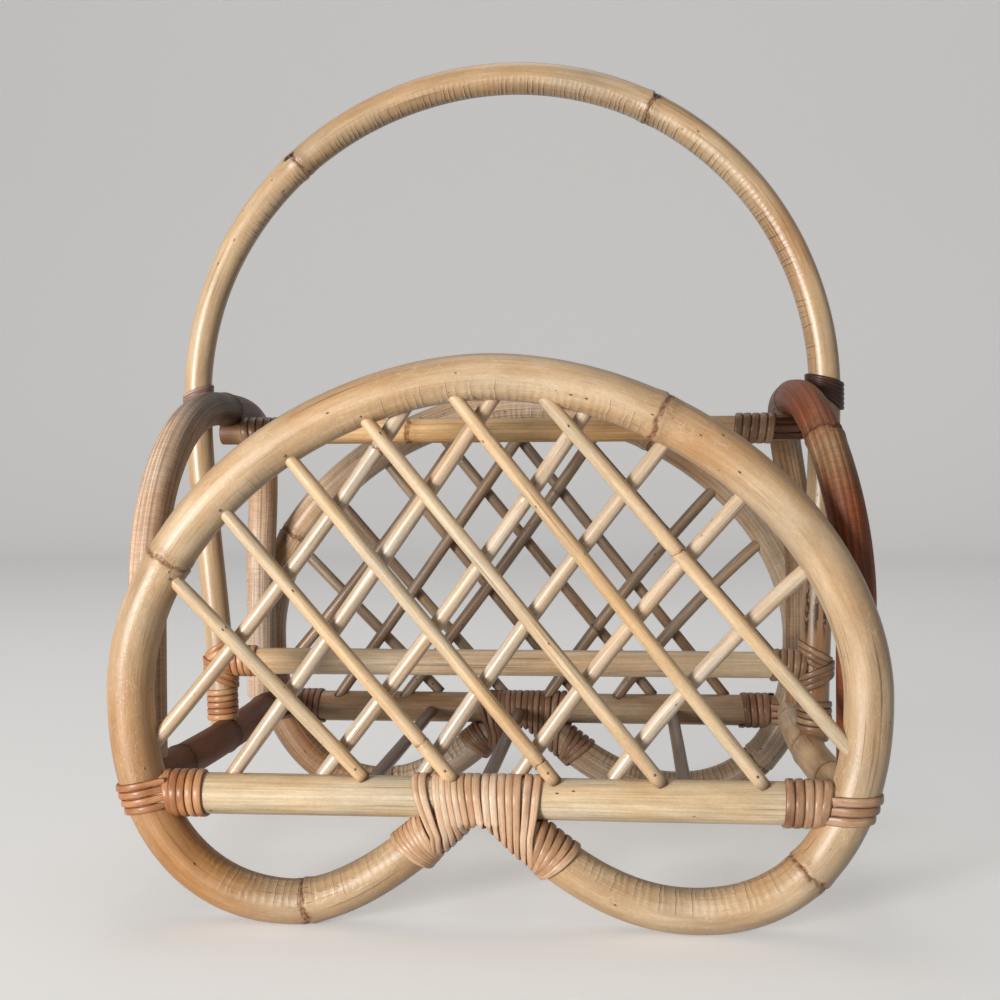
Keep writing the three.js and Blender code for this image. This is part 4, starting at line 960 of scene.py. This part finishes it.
def corner_straps(panel, end, material):
    """Passes to and fro round the outside of the frame, whose ends run under the rail's lashing"""
    passes, pitch, width, drop, tilt = (4, 4.2, 4.0, 0.6, 0.2) if end < 0 else (3, 5.2, 5.0, 1.2, 0.0)
    inner = RAIL_REACH - FRAME_RADIUS + 4.4
    stem = np.array([(inner - 6, -9.0), (inner - 6, 9.0), (inner + 4, -9.5), (inner + 4, 9.5)])
    points, outs = [], []
    for number in range(passes):
        height = RAIL_HEIGHT - drop + ((passes - 1) / 2 - number) * pitch
        reach = frame_reach(height)
        cloud = np.concatenate([stem, circle((reach, 0), FRAME_RADIUS * 1.03, FRAME_RADIUS)])
        row, row_out = outer_pass(number, cloud, STRIP_THICKNESS / 2 + 0.1, 160, inner - 5.5, height)
        row[:, 2] -= tilt * (row[:, 0] - reach)
        if points:
            last, next_one = points[-1][-1], row[0]
            angle = np.linspace(0, math.pi, 7)[1:-1, None]
            middle = (last + next_one) / 2
            bow = middle + (last - middle) * np.cos(angle) + np.array([-2.2, 0, 0]) * np.sin(angle)
            bow[:, 1] -= np.sign(last[1]) * 1.3 * np.sin(angle[:, 0])
            points.append(bow)
            outs.append(np.repeat(outs[-1][-1:], len(bow), axis=0))
        points.append(row)
        outs.append(row_out)
    points, outs = np.concatenate(points) * (end, 1, 1), np.concatenate(outs) * (end, 1, 1)
    strip(f"{PANELS[panel]}_{SIDES[end]}_corner_straps", points, outs, width, STRIP_THICKNESS, material,
          np.linspace(0, passes, len(points)), panel)


def nail_heads(panel, nails):
    """Small domed heads in one mesh, from the point, outward direction and radius of each"""
    sides, rings = 10, 4
    turn = np.linspace(0, FULL_TURN, sides, endpoint=False)[:, None]
    lift = np.linspace(0, math.pi / 2, rings, endpoint=False)[:, None, None]
    points, faces = [], []
    for number, (point, out, radius) in enumerate(nails):
        out = unit(np.asarray(out, float))
        across = unit(np.cross(out, (0.3, 0.2, 1.0)))
        flat = across * np.cos(turn) + np.cross(out, across) * np.sin(turn)
        dome = point + radius * (flat * np.cos(lift) + 0.6 * out * np.sin(lift))
        points.append(closed(dome, [point - out * radius, point + out * radius * 0.6]))
        first = number * len(points[0])
        faces += [[first + i for i in face[::-1]] for face in tube_faces(rings, sides)]
    add_piece(f"{PANELS[panel]}_nail_heads", None, np.concatenate(points), faces, NAIL, "nail", panel)


FRAME_CREASES = spots((LEFT_LOBE, 0.055, 1.2), (LEFT_LOBE - 0.06, 0.03, 0.5), (RIGHT_LOBE, 0.06, 1.2),
                      (0.47, 0.07, 0.75), (0.56, 0.04, 0.6), (0.36, 0.03, 0.4))
# The frame is darker at these shares along it, most on its left lobe
FRAME_DARK_PLACES = spots((0.145, 0.045, 0.85), (0.21, 0.05, 0.4), (0.3, 0.012, 0.25), (0.6, 0.02, 0.3))
# Painted shadow at both ends of each lattice rod
ROD_END_SHADOW = spots((0, 0.014, 1.0), (1, 0.014, 1.0))


def lattice(panel, word, layer, rods, rings, radius, thin_ends, skin):
    """The rods of one layer, whose lines are returned"""
    lines = [rod_line(foot, top, bow, layer) for foot, top, bow in rods]
    for i, line in enumerate(lines, 1):
        pole(f"{PANELS[panel]}_{word}_rod_{i}", line, radius, skin, "lattice_rod", rings.get(i, []),
             sides=18, step=3, panel=panel, stain_and_shade=ROD_END_SHADOW, thin_ends=thin_ends, ring_size=0.5)
    return lines


def rod_nails(line):
    """A nail at the top of an outer rod, into the frame, and one at its foot, into the rail"""
    _, along, _, _ = line.frames(np.array([line.length]))
    out = np.array([0, -0.75, 0]) + unit(-along[0] * (1, 0, 1)) * 0.66
    foot_out = np.array([0, -1.0, 0.25])
    return [(line.at(line.length) * (1, 0, 1) + unit(out) * (FRAME_RADIUS + 0.1), out, 0.95),
            (line.at(7.0) + unit(foot_out) * (ROD_RADIUS - 0.35), foot_out, 0.8)]


def build_panel(panel):
    falling_skin, rising_skin, centre_cane, lobe_cane, end_canes = (
        (FALLING_SKIN, RISING_SKIN, CENTRE_CANE, LOBE_CANE, {-1: SIDE_CANE, 1: RIGHT_CANE}) if panel < 0 else
        (SHADED_BACK_ROD_SKIN, SHADED_BACK_ROD_SKIN, SHADED_BACK_CANE, SHADED_BACK_CANE, {-1: SHADED_BACK_CANE, 1: SHADED_BACK_CANE}))
    pole(f"{PANELS[panel]}_frame", FRAME, FRAME_RADIUS, FRAME_SKINS[panel], "frame_pole", FRAME_RINGS,
         sides=44, step=1.8, taper=frame_taper, panel=panel, shape=seated, stain_and_shade=FRAME_DARK_PLACES,
         creased=FRAME_CREASES)
    pole(f"{PANELS[panel]}_rail", level(-RAIL_REACH, RAIL_REACH, RAIL_HEIGHT), RAIL_RADIUS,
         RAIL_SKINS[panel], "rail_pole", sides=36, step=4, panel=panel)
    falling = lattice(panel, "falling", -1, FALLING_RODS, FALLING_RINGS, ROD_RADIUS - 0.15, (0.96, 0.84),
                      falling_skin)
    nail_heads(panel, [nail for line in falling for nail in rod_nails(line)])
    lattice(panel, "rising", 1, RISING_RODS, RISING_RINGS, ROD_RADIUS + 0.15, (0.9, 0.9), rising_skin)
    centre_lashing(panel, centre_cane)
    for end, end_cane in end_canes.items():
        lobe_lashing(panel, end, lobe_cane)
        rail_lashing(panel, end, end_cane)
        corner_straps(panel, end, end_cane)


def leg_windings(side):
    """Lashings round the handle's leg: at its foot, at the arch, and crossed at the middle rail"""
    around = {"line": HANDLE, "radius_at": handle_radius_at, "up": (side, 0, 0)}
    way = -side
    foot_cane = SIDE_CANE if side < 0 else BROWN_CANE
    first = handle_place(side, BASE_HEIGHTS[side] + BASE_RADIUS + (0.4 if side < 0 else 2.6))
    pole_winding(f"{SIDES[side]}_foot_lashing", turns=5, width=3.9, material=foot_cane, **around,
                 place_at=lambda turn: (first + way * (turn * 4.1 - 0.6 * side), first + way * turn * 4.1))
    low, high, turns, pitch, inner_pitch, thick, top_cane = (
        (1.0, 9.0, 4, 2.4, 2.0, 1.3, GREY_CANE) if side < 0 else (-6.5, 8.5, 6, 2.9, 1.2, 2.6, DARK_CANE))
    outer, inner = handle_place(side, ARCH_APEXES[side] + low), handle_place(side, ARCH_APEXES[side] + high)
    pole_winding(f"{SIDES[side]}_crossing_lashing", turns=turns, width=pitch - 0.15, material=top_cane,
                 thickness=thick, **around,
                 place_at=lambda turn: (outer + way * turn * pitch, inner + way * turn * inner_pitch))
    for title, climb, grow, rises in (("upper", 1, 0.0, (-3.2, 4.2)), ("lower", -1, 1.3, (-2.5, 6.5))):
        outer_place, inner_place = (handle_place(side, MIDDLE_RAIL_HEIGHT + climb * rise) for rise in rises)
        pole_winding(f"{SIDES[side]}_leg_{title}_cross", turns=3, width=3.9, material=foot_cane, grow=grow,
                     thickness=1.6, **around,
                     place_at=lambda turn, a=outer_place, b=inner_place, c=way * climb: (
                         a + c * turn * 3.5, b + c * turn * 4.0))


def rail_end_straps(side, material):
    """Flat strips from the upper rail's lashing round the end of the rail, under the arch"""
    reach = ARCH_TOPS[side]
    points, outs = [], []
    for number, height in enumerate((4.2, -0.6, -5.4)):
        half = math.sqrt(TOP_RAIL_RADIUS ** 2 - height ** 2)
        stem = np.array([(reach - 26, -half), (reach - 26, half), (reach + 1, -half), (reach + 1, half)])
        cloud = np.concatenate([stem, circle((reach + 2, 0), 5, half)])
        row, row_out = outer_pass(number, cloud, 1.0, 120, reach - 25, TOP_RAIL_HEIGHT + height,
                                  height / TOP_RAIL_RADIUS)
        points.append(row)
        outs.append(row_out)
    points, outs = np.concatenate(points) * (side, 1, 1), np.concatenate(outs) * (side, 1, 1)
    strip(f"{SIDES[side]}_top_rail_straps", points, unit(outs), 4.6, 1.5, material,
          np.linspace(0, 3, len(points)))


def handle_creases(share):
    """The handle's skin is creased all round its hoop, less towards the left. The same share sets its painted
    shade on the inner side of its bends
    """
    slope = np.where(share < 0.5, 2.9, 1.3)
    return np.clip(1.25 - slope * np.abs(share - 0.5), 0, 1) * np.clip((0.84 - share) / 0.04, 0, 1)


def handle_stain(share):
    return np.clip((share - 0.8) * 6, 0, 1)


def right_arch_stain(share):
    """The right arch is dark in front and on top, and pale just under its ring"""
    return np.clip((0.62 - share) * 6, 0, 1) * (1 - 0.8 * np.exp(-((share - 0.305) / 0.03) ** 2))


# The left arch is darker over its top and has painted shadow where its far side turns back
ARCH_STAINS_AND_SHADOW = {-1: spots((0.47, 0.085, 1.2), (0.54, 0.05, 1.0)), 1: right_arch_stain}
TOP_RAIL_STAIN = spots((0, 0.05, 1.3), (1, 0.04, 0.7))


def build_side(side):
    """The side arch, the base bar and the windings at one end of the basket"""
    pole(f"{SIDES[side]}_side_arch", ARCHES[side], ARCH_RADIUS, ARCH_SKINS[side], "side_arch_pole",
         ARCH_RINGS[side], sides=36, step=2.2, stain_and_shade=ARCH_STAINS_AND_SHADOW[side])
    pole(f"{SIDES[side]}_base_bar", base_line(side), BASE_RADIUS, BASE_SKINS[side], "base_bar_pole",
         BASE_RINGS, step=3)
    leg_windings(side)
    if side > 0:
        rail_end_straps(side, DARK_CANE)
    leg_share = handle_place(side, MIDDLE_RAIL_HEIGHT) / HANDLE.length
    leg = float(leg_reach(MIDDLE_RAIL_HEIGHT, side) - handle_radius_at(leg_share))
    for title, height, radius, meeting, pitch, material in (
            ("middle_rail", MIDDLE_RAIL_HEIGHT, MIDDLE_RAIL_RADIUS, leg + 3.0, 4.3,
             SIDE_CANE if side < 0 else BROWN_CANE),
            ("top_rail", TOP_RAIL_HEIGHT, TOP_RAIL_RADIUS, ARCH_TOPS[side] - ARCH_RADIUS - 1.0, 5.2,
             BROWN_CANE)):
        pole_winding(f"{SIDES[side]}_{title}_lashing", level(0, side * (meeting + 5), height),
                     lambda share, r=radius: r, ABOVE, 5,
                     lambda turn, a=meeting, b=pitch: (a - turn * b, a - turn * b * 0.97 - 0.8),
                     pitch - 0.15, material, side, 2.0)


def build_middle():
    pole("handle", HANDLE, HANDLE_RADIUS, HANDLE_SKIN, "handle_pole", HANDLE_RINGS, sides=40, step=1.8,
         taper=handle_taper, stain_and_shade=handle_stain, creased=handle_creases, anchored=True)
    for side in SIDES:
        build_side(side)
    left, right = (float(leg_reach(MIDDLE_RAIL_HEIGHT, side)) for side in SIDES)
    pole("middle_divider_rail", level(-left, right, MIDDLE_RAIL_HEIGHT), MIDDLE_RAIL_RADIUS,
         MIDDLE_RAIL_SKIN, "divider_pole", step=4)
    left, right = (ARCH_TOPS[side] + TOP_RAIL_LAP for side in SIDES)
    pole("top_divider_rail", level(-left, right, TOP_RAIL_HEIGHT), TOP_RAIL_RADIUS, TOP_RAIL_SKIN,
         "divider_pole", [0.335], step=4, stain_and_shade=TOP_RAIL_STAIN)
    depth = PANEL_Y - FLOOR_ROD_INSET
    for i, share in enumerate(FLOOR_ROD_SHARES, 1):
        x = share * HALF_WIDTH
        pole(f"floor_rod_{i}", straight((x, -depth, FLOOR_ROD_HEIGHT), (x, depth, FLOOR_ROD_HEIGHT)),
             FLOOR_ROD_RADIUS, FLOOR_ROD_SKIN, "floor_rod", sides=18, step=4)


for panel_side in PANELS:
    build_panel(panel_side)
build_middle()


# The stage and its lamps are in metres
FLOOR_SEEN = (0.8, 0.79, 0.77, 1)
FLOOR_FELT = (0.36, 0.34, 0.32, 1)
FLOOR_GLOW = 0.4
FLOOR_FRONT, FLOOR_BACK, FLOOR_HALF_WIDTH = -6.0, 3.2, 7.0
FLOOR_DROP = 0.0004
SWEEP_RADIUS = 1.6
WALL_TOP = 6.0
AIM = (0, 0, 0.25)
WORLD_COLOUR = (0.95, 0.97, 1, 1)
WORLD_STRENGTH = 0.2


def stage_material():
    """Pale to the camera and in reflections, darker to the light that bounces off it"""
    it = Shading("pale_floor")
    rays = it.add("LightPath")
    direct = it.most(rays["Is Camera Ray"], it.most(rays["Is Glossy Ray"], rays["Is Transmission Ray"]))
    return it.shade({"Base Color": it.mix("MIX", direct, FLOOR_FELT, FLOOR_SEEN), "Roughness": 0.9,
                     "Specular IOR Level": 0.1, "Emission Color": FLOOR_SEEN,
                     "Emission Strength": it.times(direct, FLOOR_GLOW)})


def backdrop():
    """A pale floor that sweeps up to a wall far behind"""
    profile = [(FLOOR_FRONT, 0.0), (FLOOR_BACK, 0.0)]
    for i in range(1, 25):
        angle = i / 24 * math.pi / 2
        profile.append((FLOOR_BACK + SWEEP_RADIUS * math.sin(angle),
                        SWEEP_RADIUS - SWEEP_RADIUS * math.cos(angle)))
    profile.append((FLOOR_BACK + SWEEP_RADIUS, WALL_TOP))
    points = [(x, y, z - FLOOR_DROP) for y, z in profile for x in (-FLOOR_HALF_WIDTH, FLOOR_HALF_WIDTH)]
    faces = [(2 * i, 2 * i + 1, 2 * i + 3, 2 * i + 2) for i in range(len(profile) - 1)]
    mesh = bpy.data.meshes.new("backdrop")
    mesh.from_pydata(points, [], faces)
    mesh.polygons.foreach_set("use_smooth", np.ones(len(faces), bool))
    mesh.materials.append(stage_material())
    thing = bpy.data.objects.new("backdrop", mesh)
    bpy.context.scene.collection.objects.link(thing)


def lamp(name, place, size, power, colour=(1, 1, 1)):
    light = bpy.data.lights.new(name, "AREA")
    light.shape = "DISK"
    light.size = size
    light.energy = power
    light.color = colour
    thing = bpy.data.objects.new(name, light)
    thing.location = place
    thing.rotation_euler = (Vector(AIM) - Vector(place)).to_track_quat("-Z", "Y").to_euler()
    bpy.context.scene.collection.objects.link(thing)


backdrop()
lamp("key_lamp", (-1.4, -2.15, 0.32), 0.8, 75, (1, 0.975, 0.95))
lamp("fill_lamp", (2.2, -1.6, 0.8), 1.4, 3, (0.96, 0.98, 1))
lamp("top_lamp", (-0.2, 0.7, 2.4), 1.6, 9)

world = bpy.data.worlds.new("studio")
bpy.context.scene.world = world
world.use_nodes = True
background = world.node_tree.nodes["Background"]
background.inputs["Color"].default_value = WORLD_COLOUR
background.inputs["Strength"].default_value = WORLD_STRENGTH

# Camera of the photograph, fitted to the panels, rails and handle: radians, pixels and millimetres
YAW, PITCH, ROLL = 0.0970, -0.0165, -0.0051
FOCAL_PIXELS = 1341
PHOTO_PIXELS = 1000
SENSOR_WIDTH = 36
CAMERA_PLACE = (76.57, -868.88, 245.53)


def make_camera():
    forward = np.array([-math.sin(YAW) * math.cos(PITCH), math.cos(YAW) * math.cos(PITCH), math.sin(PITCH)])
    across = np.array([math.cos(YAW), math.sin(YAW), 0])
    above = np.cross(across, forward)
    right = across * math.cos(ROLL) + above * math.sin(ROLL)
    up = -across * math.sin(ROLL) + above * math.cos(ROLL)
    data = bpy.data.cameras.new("camera")
    data.sensor_width = SENSOR_WIDTH
    data.lens = SENSOR_WIDTH * FOCAL_PIXELS / PHOTO_PIXELS
    thing = bpy.data.objects.new("camera", data)
    bpy.context.scene.collection.objects.link(thing)
    turn = Matrix([list(row) for row in np.stack([right, up, -forward], axis=1)]).to_4x4()
    place = Vector(CAMERA_PLACE) + Vector((CENTRE_X, 0, 0))
    thing.matrix_world = Matrix.Translation(place * MM) @ turn
    bpy.context.scene.camera = thing


make_camera()
bpy.context.scene.view_settings.view_transform = "Standard"
